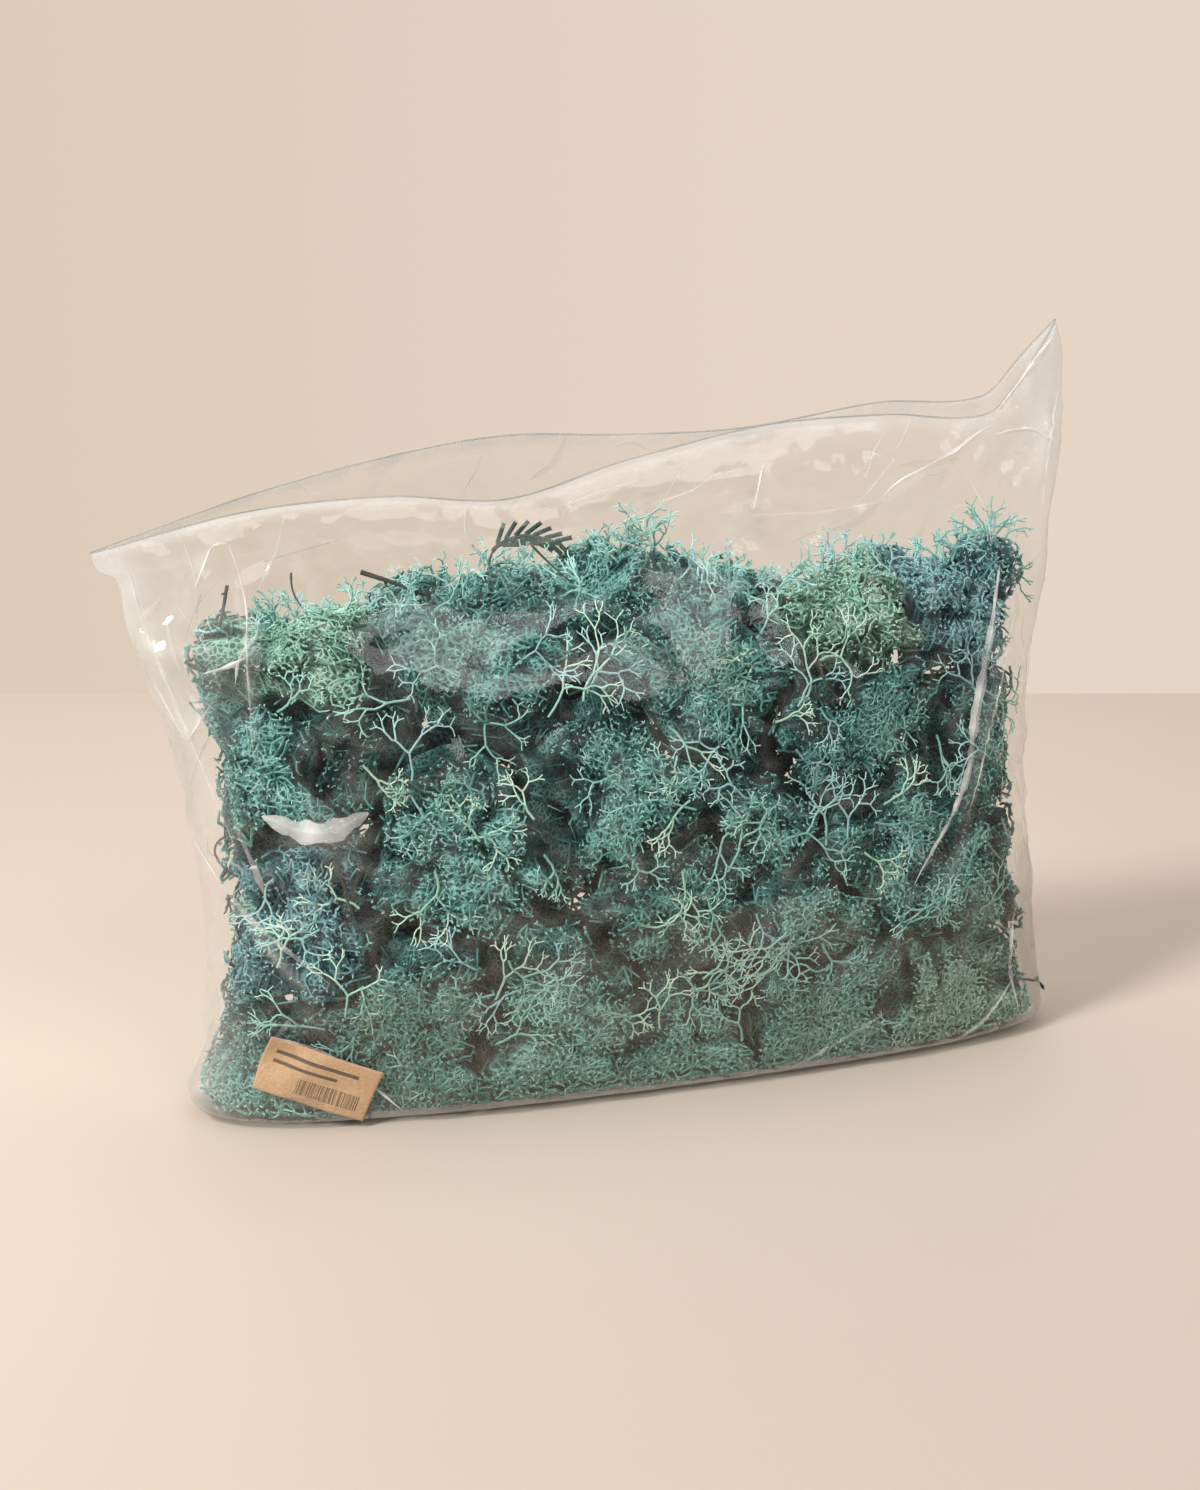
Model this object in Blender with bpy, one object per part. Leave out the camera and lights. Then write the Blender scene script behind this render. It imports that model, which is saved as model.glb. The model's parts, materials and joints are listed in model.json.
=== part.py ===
"""A clear film bag, standing on its base, packed with heads of dyed reindeer lichen.

Metres, +Z up. X runs along the bag's width and the front faces -Y. The origin is the middle
of the bag's footprint, on the surface that it stands on.
"""

import math
import random

import bmesh
import bpy
from mathutils import Matrix, Vector, noise
from mathutils.bvhtree import BVHTree

# Film of the bag. A flat tube 0.46 m wide, filled to a slab and pressed flat at its mouth.
FILM_THICKNESS = 0.0007
FILM_SHARE = 0.30
FILM_SIDES = 36
FILM_EDGES = (0, FILM_SIDES // 2)
FILM_RELIEF = 0.0035
FILM_WAVE = 0.050

# How the bag's outline changes on the way up: share of the way, left edge x and z, right edge x
# and z, half depth, and how boxy its section is (1 is an ellipse, less is fuller).
BAG_LEVELS = (
    (0.00, -0.176, 0.000, 0.202, 0.000, 0.046, 0.55),
    (0.05, -0.197, 0.006, 0.225, 0.006, 0.056, 0.58),
    (0.13, -0.190, 0.032, 0.220, 0.032, 0.063, 0.62),
    (0.30, -0.187, 0.085, 0.216, 0.083, 0.066, 0.66),
    (0.47, -0.194, 0.140, 0.212, 0.137, 0.063, 0.70),
    (0.62, -0.206, 0.188, 0.214, 0.190, 0.054, 0.74),
    (0.76, -0.217, 0.222, 0.223, 0.240, 0.038, 0.80),
    (0.88, -0.221, 0.241, 0.230, 0.290, 0.020, 0.90),
    (0.95, -0.2285, 0.246, 0.2312, 0.320, 0.009, 1.00),
    (1.00, -0.2315, 0.254, 0.2260, 0.343, 0.004, 1.00),
)
LOFT_STEPS = (0.0, 0.02, 0.05, 0.09, 0.14, 0.20, 0.27, 0.34, 0.41, 0.48, 0.55, 0.62, 0.69, 0.76,
              0.82, 0.88, 0.92, 0.96, 1.0)

# The mouth's two lips leave the straight line between its ends: share of the width, then the
# rise of the back lip and of the front lip.
LIP_RISE = (
    (0.00, 0.000, 0.000),
    (0.14, 0.007, 0.002),
    (0.28, 0.010, -0.006),
    (0.40, 0.007, -0.020),
    (0.52, -0.005, -0.016),
    (0.66, -0.016, -0.015),
    (0.80, -0.019, -0.024),
    (0.92, -0.028, -0.036),
    (0.965, -0.012, -0.020),
    (1.00, 0.000, 0.000),
)
LIP_STARTS = 0.55
SLACK_STARTS = 0.62
SLACK_SWAY = 0.007

# The low left corner of the bag is a pocket, folded off from the belly by one slanting crease.
CREASE_FROM = (-0.188, 0.050)
CREASE_TO = (-0.112, 0.004)
CREASE_DEPTH = 0.008
CREASE_WIDTH = 0.010

# Heads of lichen. Each one keeps to its own share of the bag's inside: a lobed core, and pairs of
# prongs on it that end just short of its neighbours and the film. Shares are of the room there is.
HEADS = 50
HEAD_SEED = 11
SPREAD_ROUNDS = 3
SAMPLE_STEP = 0.011
SAMPLE_SPAN = (0.24, 0.07, 0.26)
LICHEN_TOP = 0.232
LICHEN_TOP_WAVE = 0.010
HEAD_REACH = 0.056
CORE_SHARE = 0.70
CORE_LOBES = 0.28
LOBE_SIZE = 0.026
PRONG_PAIRS = 17
COVER_STEP = 7
PRONG_ROOT = 0.40
PRONG_FLARE = 0.22
PRONG_SPREAD = 0.60
PRONG_LENGTHS = (0.88, 0.985)
HALF_GAP = 0.00015
FILM_GAP = 0.00045
TOUCH_RANGE = 0.078
CONTACTS_PER_HEAD = 6

# Woody bits caught among the heads: name, radius, and points as x, depth behind the front film, z.
STICK_SIDES = 6
STICK_TAPER = 0.45
STICK_GAP = 0.0035
CORE_STICK_GAP = 0.009
STICK_STEP = 0.00025
STICKS = (
    ("twig_low_left", 0.0013, ((-0.141, 0.0030, 0.123), (-0.137, 0.0022, 0.112), (-0.135, 0.0030, 0.100))),
    ("twig_right", 0.0009, ((0.085, 0.0028, 0.196), (0.087, 0.0020, 0.186), (0.094, 0.0028, 0.177))),
    ("twig_top_left", 0.0014, ((-0.114, 0.0300, 0.239), (-0.100, 0.0290, 0.234), (-0.086, 0.0300, 0.228))),
    ("twig_far_left", 0.0010, ((-0.172, 0.0300, 0.235), (-0.176, 0.0290, 0.222), (-0.181, 0.0300, 0.205))),
    ("stem_curled", 0.0007, ((-0.171, 0.0400, 0.124), (-0.178, 0.0400, 0.122), (-0.181, 0.0400, 0.115),
                             (-0.177, 0.0400, 0.107), (-0.168, 0.0400, 0.102))),
)

# A sprig of conifer on top of the lichen: its stem, as above, and flat leaflets on both sides of it
# past its bare foot.
SPRIG_RADIUS = 0.0010
SPRIG_POINTS = ((-0.057, 0.0280, 0.2360), (-0.050, 0.0280, 0.2460), (-0.035, 0.0270, 0.2500),
                (-0.020, 0.0280, 0.2465))
LEAFLETS = 8
LEAFLET_SIZE = (0.0095, 0.0030, 0.0009)
LEAFLET_ANGLE = math.radians(40)

# Paper label on the corner pocket.
LABEL_SIZE = (0.050, 0.025)
LABEL_THICKNESS = 0.0005
LABEL_GAP = 0.0004
LABEL_CENTRE = (-0.150, 0.0235)
LABEL_SLOPE = math.radians(-21)
LABEL_GRID = (8, 4)

# Finishes: colour with its alpha, then roughness. Heads nearest to the pale places are pale.
COLOURS = {
    "film": ((0.93, 0.93, 0.91, 0.22), 0.12),
    "lichen_teal": ((0.16, 0.36, 0.31, 1.0), 0.85),
    "lichen_mint": ((0.27, 0.47, 0.38, 1.0), 0.85),
    "lichen_blue": ((0.18, 0.40, 0.39, 1.0), 0.85),
    "lichen_deep": ((0.07, 0.20, 0.18, 1.0), 0.85),
    "bark": ((0.07, 0.08, 0.06, 1.0), 0.8),
    "needles": ((0.05, 0.14, 0.11, 1.0), 0.7),
    "kraft": ((0.62, 0.40, 0.22, 1.0), 0.75),
}
HEAD_COLOURS = ("lichen_teal", "lichen_teal", "lichen_blue", "lichen_teal", "lichen_deep")
PALE_PLACES = (
    (0.085, -0.030, 0.192),
    (-0.146, -0.030, 0.198),
    (-0.030, -0.030, 0.100),
    (0.040, -0.030, 0.040),
)


def clear_scene():
    for obj in list(bpy.data.objects):
        bpy.data.objects.remove(obj, do_unlink=True)


def material(name):
    """One Principled material for each finish, made once."""
    found = bpy.data.materials.get(name)
    if found:
        return found
    colour, roughness = COLOURS[name]
    made = bpy.data.materials.new(name)
    made.use_nodes = True
    shader = made.node_tree.nodes["Principled BSDF"]
    shader.inputs["Base Color"].default_value = colour[:3] + (1.0,)
    shader.inputs["Alpha"].default_value = colour[3]
    shader.inputs["Roughness"].default_value = roughness
    return made


def add_object(name, bm, finish, smooth=False):
    """Turns a bmesh into a named object with its finish."""
    mesh = bpy.data.meshes.new(name)
    bm.to_mesh(mesh)
    bm.free()
    mesh.materials.append(material(finish))
    if smooth:
        mesh.shade_smooth()
        mesh.set_sharp_from_angle(angle=math.radians(40))
    obj = bpy.data.objects.new(name, mesh)
    bpy.context.scene.collection.objects.link(obj)
    return obj


def smooth_row(rows, at):
    """The row of a table at a value of its first column, on smooth curves through the rows."""
    last = len(rows) - 1
    i = min(max(sum(1 for row in rows if row[0] <= at) - 1, 0), last - 1)
    start, end = rows[i], rows[i + 1]
    before, after = rows[max(i - 1, 0)], rows[min(i + 2, last)]
    span = end[0] - start[0]
    t = (at - start[0]) / span
    found = []
    for k in range(1, len(start)):
        into = (end[k] - before[k]) / (end[0] - before[0]) * span
        out = (after[k] - start[k]) / (after[0] - start[0]) * span
        found.append((2 * t**3 - 3 * t**2 + 1) * start[k] + (t**3 - 2 * t**2 + t) * into
                     + (3 * t**2 - 2 * t**3) * end[k] + (t**3 - t**2) * out)
    return found


def ease(value):
    value = min(max(value, 0.0), 1.0)
    return value * value * (3 - 2 * value)


def crease_depth(x, z):
    """How far the crease of the corner pocket sinks into the front at this place."""
    start, end = Vector(CREASE_FROM), Vector(CREASE_TO)
    along = end - start
    share = min(max((Vector((x, z)) - start).dot(along) / along.length_squared, 0.0), 1.0)
    away = (Vector((x, z)) - start - along * share).length
    return CREASE_DEPTH * math.exp(-((away / CREASE_WIDTH) ** 2)) * math.sin(math.pi * (0.15 + 0.7 * share))


def film_point(turn, height):
    """A point of the film's outside. Turn runs from the left edge along the front, then the back."""
    x_left, z_left, x_right, z_right, half_depth, boxy = smooth_row(BAG_LEVELS, height)
    angle = 2 * math.pi * turn
    share = (1 - math.cos(angle)) / 2
    side = -1.0 if math.sin(angle) >= 0 else 1.0
    fullness = abs(math.sin(angle)) ** boxy
    back_rise, front_rise = smooth_row(LIP_RISE, share)
    lip = ease((height - LIP_STARTS) / (1 - LIP_STARTS)) ** 2
    x = x_left + (x_right - x_left) * share
    line = z_left + (z_right - z_left) * share
    z = line + lip * (front_rise if side < 0 else back_rise)
    y = side * half_depth * fullness
    place = Vector((x, y, z)) / FILM_WAVE
    standing = ease(height / 0.12)
    pressed = ease((1 - height) / 0.35)
    relief = FILM_RELIEF * standing * pressed * (noise.noise(place) + 0.5 * noise.noise(place * 2.3))
    if side < 0 and height > 0:
        relief -= crease_depth(x, z) * standing
    slack = ease((height - SLACK_STARTS) / (1 - SLACK_STARTS))
    sway = SLACK_SWAY * slack * noise.noise(Vector((x * 14, 3.7, line * 9)))
    outward = Vector((-math.cos(angle) * 0.6, side * fullness, 0.0))
    if outward.length > 0:
        outward.normalize()
    return Vector((x, y + sway, z)) + outward * relief


def film_loops():
    """The outside's closed loops, from the base to the mouth."""
    return [[film_point(k / FILM_SIDES, height) for k in range(FILM_SIDES)] for height in LOFT_STEPS]


def film_gap(loop, k):
    """How far apart front and back are at this point of a loop, or beside it where it is an edge."""
    beside = k + 1 if k in FILM_EDGES else k
    return abs(loop[beside].y - loop[-beside].y)


def inward_loops(loops):
    """The same loops moved inwards by the film's thickness, or less where front and back nearly meet."""
    moved = []
    for i, loop in enumerate(loops):
        below, above = loops[max(i - 1, 0)], loops[min(i + 1, len(loops) - 1)]
        inner = []
        for k, point in enumerate(loop):
            around = loop[(k + 1) % FILM_SIDES] - loop[k - 1]
            normal = around.cross(above[k] - below[k]).normalized()
            if k in FILM_EDGES:
                normal.y = 0.0
            place = point - normal * min(FILM_THICKNESS, film_gap(loop, k) * FILM_SHARE)
            if i == 0:
                place.z = FILM_THICKNESS
            elif i == 1:
                place.z = max(place.z, 2 * FILM_THICKNESS)
            inner.append(place)
        moved.append(inner)
    return moved


def add_skin(bm, loops, outside):
    """One skin of the film, split alike inside and out, with its flat base. Returns the loop at the mouth."""
    rings = [[bm.verts.new(point) for point in loop] for loop in loops]
    for low, high in zip(rings, rings[1:]):
        for k in range(FILM_SIDES):
            j = (k + 1) % FILM_SIDES
            for triangle in ((low[k], low[j], high[j]), (low[k], high[j], high[k])):
                bm.faces.new(triangle if outside else triangle[::-1])
    middle = bm.verts.new(sum(loops[0], Vector()) / FILM_SIDES)
    for k in range(FILM_SIDES):
        fan = (rings[0][(k + 1) % FILM_SIDES], rings[0][k], middle)
        bm.faces.new(fan if outside else fan[::-1])
    return rings[-1]


def make_film():
    """The bag: two skins joined round the open mouth. Returns its inside and its outside, for measuring."""
    outer = film_loops()
    inner = inward_loops(outer)
    bm = bmesh.new()
    outer_lip = add_skin(bm, outer, True)
    inner_lip = add_skin(bm, inner, False)
    for k in range(FILM_SIDES):
        j = (k + 1) % FILM_SIDES
        bm.faces.new((outer_lip[k], outer_lip[j], inner_lip[j], inner_lip[k]))
    add_object("film_bag", bm, "film", smooth=True)
    return measuring_surface(inner), measuring_surface(outer)


def measuring_surface(loops):
    """A search tree on one skin of the film, with its normals outwards."""
    bm = bmesh.new()
    add_skin(bm, loops, True)
    bm.normal_update()
    tree = BVHTree.FromBMesh(bm)
    bm.free()
    return tree


def lichen_top(x, y):
    """Height that the packed lichen comes up to."""
    return LICHEN_TOP + LICHEN_TOP_WAVE * noise.noise(Vector((x * 17, y * 17, 1.3)))


def inside_points(surface):
    """An even set of points in the space that the lichen fills."""
    found = []
    steps = [round(span / SAMPLE_STEP) for span in SAMPLE_SPAN]
    for i in range(-steps[0], steps[0] + 1):
        for j in range(-steps[1], steps[1] + 1):
            for k in range(steps[2] + 1):
                point = Vector((i, j, k + 0.5)) * SAMPLE_STEP
                if point.z > lichen_top(point.x, point.y):
                    continue
                near, normal, _, _ = surface.find_nearest(point)
                if (near - point).dot(normal) > 0:
                    found.append(point)
    return found


def head_centres(surface):
    """Centres of the heads, spread evenly by moving each one to the middle of its own points."""
    points = inside_points(surface)
    draw = random.Random(HEAD_SEED)
    centres = draw.sample(points, HEADS)
    for _ in range(SPREAD_ROUNDS):
        sums = [Vector() for _ in centres]
        counts = [0] * HEADS
        for point in points:
            nearest = min(range(HEADS), key=lambda k: (centres[k] - point).length_squared)
            sums[nearest] += point
            counts[nearest] += 1
        centres = [s / c if c else old for s, c, old in zip(sums, counts, centres)]
    return sorted(centres, key=lambda c: (round(c.z, 2), c.x))


def stick_points(points, surface):
    """The stick's points in space, each one a given depth behind the front film."""
    placed = []
    for x, depth, z in points:
        hit = surface.ray_cast(Vector((x, 0.0, z)), Vector((0, -1, 0)))[0]
        placed.append(Vector((x, hit.y + depth, z)))
    return placed


def tapered(radius, i, points):
    """Radius of a stick at its point number i."""
    return radius * (1 - STICK_TAPER * i / (len(points) - 1))


def stretches(points, radius):
    """The stick's straight stretches, each with its ends and its largest radius."""
    return [(points[i], points[i + 1], tapered(radius, i, points)) for i in range(len(points) - 1)]


def tube(bm, points, radius, sides):
    """A tapered stick along points, closed at both ends."""
    rings = []
    for i, point in enumerate(points):
        ahead = points[min(i + 1, len(points) - 1)] - points[max(i - 1, 0)]
        frame = ahead.to_track_quat("Z", "Y").to_matrix()
        size = tapered(radius, i, points)
        rings.append([bm.verts.new(point + frame @ Vector((math.cos(a), math.sin(a), 0)) * size)
                      for a in (2 * math.pi * k / sides for k in range(sides))])
    for low, high in zip(rings, rings[1:]):
        for k in range(sides):
            bm.faces.new((low[k], low[(k + 1) % sides], high[(k + 1) % sides], high[k]))
    bm.faces.new(rings[0][::-1])
    bm.faces.new(rings[-1])


def make_stick(name, radius, points):
    """A twig. Returns the stretches that the lichen keeps clear of."""
    bm = bmesh.new()
    tube(bm, points, radius, STICK_SIDES)
    bmesh.ops.triangulate(bm, faces=bm.faces[:])
    bmesh.ops.recalc_face_normals(bm, faces=bm.faces[:])
    add_object(name, bm, "bark")
    return stretches(points, radius)


def blade(start, end, width, thickness):
    """A flat tapered leaflet, widest near its middle."""
    along = end - start
    frame = along.to_track_quat("Z", "Y").to_matrix()
    bm = bmesh.new()
    rings = []
    for share, wide in ((0.0, 0.45), (0.5, 1.0)):
        corners = ((-wide * width / 2, 0.0), (wide * width / 2, 0.0), (0.0, thickness))
        rings.append([bm.verts.new(start + along * share + frame @ Vector((x, y, 0))) for x, y in corners])
    tip = bm.verts.new(end)
    low, high = rings
    for k in range(3):
        bm.faces.new((low[k], low[(k + 1) % 3], high[(k + 1) % 3], high[k]))
        bm.faces.new((high[k], high[(k + 1) % 3], tip))
    bm.faces.new(low[::-1])
    bmesh.ops.triangulate(bm, faces=bm.faces[:])
    bmesh.ops.recalc_face_normals(bm, faces=bm.faces[:])
    return bm


def make_sprig(name, points):
    """A conifer sprig in one solid. Returns the stretches of its stem and those of its leaflets."""
    bm = bmesh.new()
    tube(bm, points, SPRIG_RADIUS, 4)
    bmesh.ops.triangulate(bm, faces=bm.faces[:])
    bmesh.ops.recalc_face_normals(bm, faces=bm.faces[:])
    stem = add_object(name, bm, "needles")
    stem_stretches = stretches(points, SPRIG_RADIUS)
    leaflet_stretches = []
    leaflets = bpy.data.collections.new(name + "_leaflets")
    length, width, thickness = LEAFLET_SIZE
    for k in range(LEAFLETS):
        place = 1 + (k + 0.5) / LEAFLETS * (len(points) - 2)
        i = min(int(place), len(points) - 2)
        start = points[i].lerp(points[i + 1], place - i)
        turn = LEAFLET_ANGLE if k % 2 else -LEAFLET_ANGLE
        way = Matrix.Rotation(turn, 3, "Y") @ (points[i + 1] - points[i]).normalized()
        end = start + way * length * (1 - 0.35 * k / LEAFLETS)
        leaflet = add_object(f"{name}_leaflet_{k}", blade(start, end, width, thickness), "needles")
        bpy.context.scene.collection.objects.unlink(leaflet)
        leaflets.objects.link(leaflet)
        leaflet_stretches.append((start, end, width / 2))
    join_collection(stem, leaflets)
    return [stem_stretches, leaflet_stretches]


def join_collection(obj, pieces):
    """Fuses a collection's objects into one object and removes them."""
    union = obj.modifiers.new("join", "BOOLEAN")
    union.operation = "UNION"
    union.operand_type = "COLLECTION"
    union.collection = pieces
    union.solver = "EXACT"
    bpy.context.view_layer.update()
    joined = bpy.data.meshes.new_from_object(obj.evaluated_get(bpy.context.evaluated_depsgraph_get()))
    obj.modifiers.clear()
    obj.data = joined
    joined.name = obj.name
    for piece in list(pieces.objects):
        bpy.data.objects.remove(piece, do_unlink=True)
    bpy.data.collections.remove(pieces)


def distance_to_line(point, start, end):
    along = end - start
    share = min(max((point - start).dot(along) / along.length_squared, 0.0), 1.0)
    return (start + along * share - point).length


class Space:
    """The room that one head may fill: nearer to its centre than to any other, inside the film."""

    def __init__(self, centre, others, surface, sticks):
        self.centre = centre
        self.surface = surface
        self.others = [c for c in others if c is not centre and (c - centre).length < 0.14]
        self.sticks = [[stretch for stretch in stick if distance_to_line(centre, *stretch[:2]) < HEAD_REACH]
                       for stick in sticks]

    def reach(self, direction, clearance):
        """How far a prong can go this way before it meets a neighbour, the film or a stick."""
        longest = HEAD_REACH
        for other in self.others:
            apart = other - self.centre
            towards = direction.dot(apart) / apart.length
            if towards > 0:
                longest = min(longest, (apart.length / 2 - HALF_GAP) / towards)
        hit = self.surface.ray_cast(self.centre, direction)
        if hit[0] is not None:
            slant = max(abs(direction.dot(hit[1])), 0.3)
            longest = min(longest, hit[3] - FILM_GAP / slant)
        for stick in self.sticks:
            for start, end, radius in stick:
                longest = self.reach_past(direction, start, end, radius + clearance, longest)
        return max(longest, 0.004)

    def reach_past(self, direction, start, end, clear, longest):
        """The same length, cut short where the ray comes too near this stretch of a stick."""
        far = STICK_STEP
        while far < longest and distance_to_line(self.centre + direction * far, start, end) > clear:
            far += STICK_STEP
        return min(far - STICK_STEP, longest) if far < longest else longest


def random_turn(draw):
    """A turn in space, drawn at random."""
    return Matrix.Rotation(draw.uniform(0, 2 * math.pi), 3, "X") @ Matrix.Rotation(
        draw.uniform(0, 2 * math.pi), 3, "Z")


def spread_directions(count):
    """Directions spread evenly over a ball, in an order that covers it early on."""
    golden = math.pi * (3 - math.sqrt(5))
    found = []
    for k in range(count):
        place = (k * COVER_STEP) % count
        z = 1 - (2 * place + 1) / count
        ring = math.sqrt(1 - z * z)
        found.append(Vector((ring * math.cos(golden * place), ring * math.sin(golden * place), z)))
    return found


def contact_directions(space, centres):
    """Directions in which this head meets its neighbours, the film and the sticks, where they are near."""
    found = []
    for other in sorted(space.others, key=lambda c: (c - space.centre).length):
        middle = (other + space.centre) / 2
        half = (other - middle).length
        crowded = any((c - middle).length < half - 0.0005 for c in centres)
        if 2 * half < TOUCH_RANGE and not crowded and len(found) < CONTACTS_PER_HEAD:
            found.append((other - space.centre).normalized())
    near, _, _, away = space.surface.find_nearest(space.centre)
    if away < HEAD_REACH:
        found.append((near - space.centre).normalized())
    for stick in space.sticks:
        middles = [(start + end) / 2 - space.centre for start, end, _ in stick]
        if middles:
            found.append(min(middles, key=lambda middle: middle.length).normalized())
    return found


def face_over(faces, centre, direction):
    """The face of a core that a ray from its centre passes through."""
    for face in faces:
        a, b, c = (vert.co - centre for vert in face.verts)
        if min(direction.dot(a.cross(b)), direction.dot(b.cross(c)), direction.dot(c.cross(a))) >= 0:
            return face
    return None


def raise_prongs(bm, face, space, direction, draw, exact):
    """Raises a pair of prongs from one face of the core. An exact pair has one tip that just touches."""
    centre = space.centre
    corners = [vert.co - centre for vert in face.verts]
    normal = face.normal
    root = direction * (corners[0].dot(normal) / direction.dot(normal))
    weights = [(corners[i - 1] - root).cross(corners[i - 2] - root).length for i in range(3)]
    least = weights.index(min(weights))
    corners = corners[least + 1:] + corners[:least + 1]
    weights = weights[least + 1:] + weights[:least + 1]
    length = space.reach(direction, 2 * HALF_GAP if exact else STICK_GAP)
    if not exact:
        length *= draw.uniform(*PRONG_LENGTHS)
    flare = direction * (length - root.length) * PRONG_FLARE
    ring = [root + (corner - root) * PRONG_ROOT + flare for corner in corners]
    share = weights[2] / (weights[1] + weights[2])
    share += (1 - share) * 0.35
    cleft = ring[1] + (ring[2] - ring[1]) * share
    aside = (root + (corners[2] - root) * PRONG_SPREAD * draw.uniform(0.7, 1.0)).normalized()
    tips = (direction * length, aside * space.reach(aside, STICK_GAP) * draw.uniform(*PRONG_LENGTHS))
    verts = [bm.verts.new(centre + place) for place in (*ring, cleft, *tips)]
    low = list(face.verts)[least + 1:] + list(face.verts)[:least + 1]
    bm.faces.remove(face)
    a, b, c, split, first, second = verts
    for corner, after, start, end in ((low[0], low[1], a, b), (low[2], low[0], c, a)):
        bm.faces.new((corner, after, end, start))
    bm.faces.new((low[1], low[2], c, split, b))
    for base, tip in (((a, b, split), first), ((a, split, c), second)):
        for k in range(3):
            bm.faces.new((base[k], base[(k + 1) % 3], tip))


def make_head(name, space, centres, draw, finish):
    """A head of lichen: a lobed core, with pairs of prongs raised from it all round."""
    bm = bmesh.new()
    bmesh.ops.create_icosphere(bm, subdivisions=2, radius=1.0)
    turn = random_turn(draw)
    for vert in bm.verts:
        direction = turn @ vert.co.normalized()
        room = space.reach(direction, CORE_STICK_GAP)
        lobes = noise.noise((space.centre + direction * room) / LOBE_SIZE)
        vert.co = space.centre + direction * room * (CORE_SHARE + CORE_LOBES * lobes)
    bm.normal_update()
    contacts = contact_directions(space, centres)
    ways = [(direction, True) for direction in contacts]
    ways += [(turn @ direction, False) for direction in spread_directions(2 * PRONG_PAIRS)]
    free = bm.faces[:]
    raised = 0
    for direction, exact in ways:
        face = face_over(free, space.centre, direction)
        if face is None or (raised >= PRONG_PAIRS and not exact):
            continue
        free.remove(face)
        raise_prongs(bm, face, space, direction, draw, exact)
        raised += 1
    bmesh.ops.triangulate(bm, faces=bm.faces[:])
    return add_object(name, bm, finish)


def front_of(skin, x, z):
    """How far forward the film comes within a label square of this place."""
    near = LABEL_SIZE[1] / LABEL_GRID[1] / 2
    hits = [skin.ray_cast(Vector((x + i * near, -0.2, max(z + j * near, 0.0005))), Vector((0, 1, 0)))[0]
            for i in (-1, -0.5, 0, 0.5, 1) for j in (-1, -0.5, 0, 0.5, 1)]
    return min(hit.y for hit in hits if hit is not None)


def make_label(skin):
    """The paper label, bridging the hollows of the film on the corner pocket."""
    columns, rows = LABEL_GRID
    turn = Matrix.Rotation(LABEL_SLOPE, 2)
    bm = bmesh.new()
    back, front = [], []
    for i in range(columns + 1):
        for j in range(rows + 1):
            flat = turn @ Vector(((i / columns - 0.5) * LABEL_SIZE[0], (j / rows - 0.5) * LABEL_SIZE[1]))
            x, z = LABEL_CENTRE[0] + flat.x, LABEL_CENTRE[1] + flat.y
            y = front_of(skin, x, z) - LABEL_GAP
            back.append(bm.verts.new((x, y, z)))
            front.append(bm.verts.new((x, y - LABEL_THICKNESS, z)))
    stride = rows + 1
    for i in range(columns):
        for j in range(rows):
            a, b = i * stride + j, (i + 1) * stride + j
            bm.faces.new((front[a], front[b], front[b + 1], front[a + 1]))
            bm.faces.new((back[a], back[a + 1], back[b + 1], back[b]))
    rim = ([i * stride for i in range(columns)] + [columns * stride + j for j in range(rows)]
           + [i * stride + rows for i in range(columns, 0, -1)] + list(range(rows, 0, -1)))
    for a, b in zip(rim, rim[1:] + rim[:1]):
        bm.faces.new((back[a], back[b], front[b], front[a]))
    bmesh.ops.triangulate(bm, faces=bm.faces[:])
    bmesh.ops.recalc_face_normals(bm, faces=bm.faces[:])
    return add_object("paper_label", bm, "kraft", smooth=True)


def main():
    clear_scene()
    inside, outside = make_film()
    sticks = [make_stick(name, radius, stick_points(points, inside)) for name, radius, points in STICKS]
    sticks += make_sprig("conifer_sprig", stick_points(SPRIG_POINTS, inside))
    centres = head_centres(inside)
    pale = [min(centres, key=lambda c: (c - Vector(place)).length_squared) for place in PALE_PLACES]
    draw = random.Random(HEAD_SEED + 1)
    for k, centre in enumerate(centres):
        space = Space(centre, centres, inside, sticks)
        drawn = draw.choice(HEAD_COLOURS)
        finish = "lichen_mint" if centre in pale else drawn
        make_head(f"lichen_head_{k + 1:02d}", space, centres, draw, finish)
    make_label(outside)


main()
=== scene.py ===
"""Looks of a clear film bag packed with dyed reindeer lichen.

Metres, +Z up, the bag's front faces -Y. The heads of lichen, the film, the twigs and the label are
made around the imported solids, which stay where they are.
"""

import json
import math
import random

import bmesh
import bpy
import numpy as np
from mathutils import Matrix, Vector, noise
from mathutils.bvhtree import BVHTree


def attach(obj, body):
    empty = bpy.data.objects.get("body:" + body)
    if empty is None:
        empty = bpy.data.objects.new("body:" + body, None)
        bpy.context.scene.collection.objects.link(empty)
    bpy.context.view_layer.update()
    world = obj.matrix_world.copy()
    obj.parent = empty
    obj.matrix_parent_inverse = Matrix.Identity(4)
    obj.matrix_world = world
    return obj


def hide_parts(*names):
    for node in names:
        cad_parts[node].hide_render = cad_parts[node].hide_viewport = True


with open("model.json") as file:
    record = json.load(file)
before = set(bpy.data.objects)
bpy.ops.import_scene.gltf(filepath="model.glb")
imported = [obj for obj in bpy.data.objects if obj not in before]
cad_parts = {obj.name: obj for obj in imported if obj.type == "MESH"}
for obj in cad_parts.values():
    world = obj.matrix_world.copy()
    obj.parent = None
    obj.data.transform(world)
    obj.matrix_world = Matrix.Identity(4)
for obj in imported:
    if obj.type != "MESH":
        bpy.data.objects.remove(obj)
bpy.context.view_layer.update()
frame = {"nodes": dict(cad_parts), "record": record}

# Camera: where it stands, how far it looks down and to the right, and its lens.
CAMERA_PLACE = (-0.3685, -1.0160, 0.4024)
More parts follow.
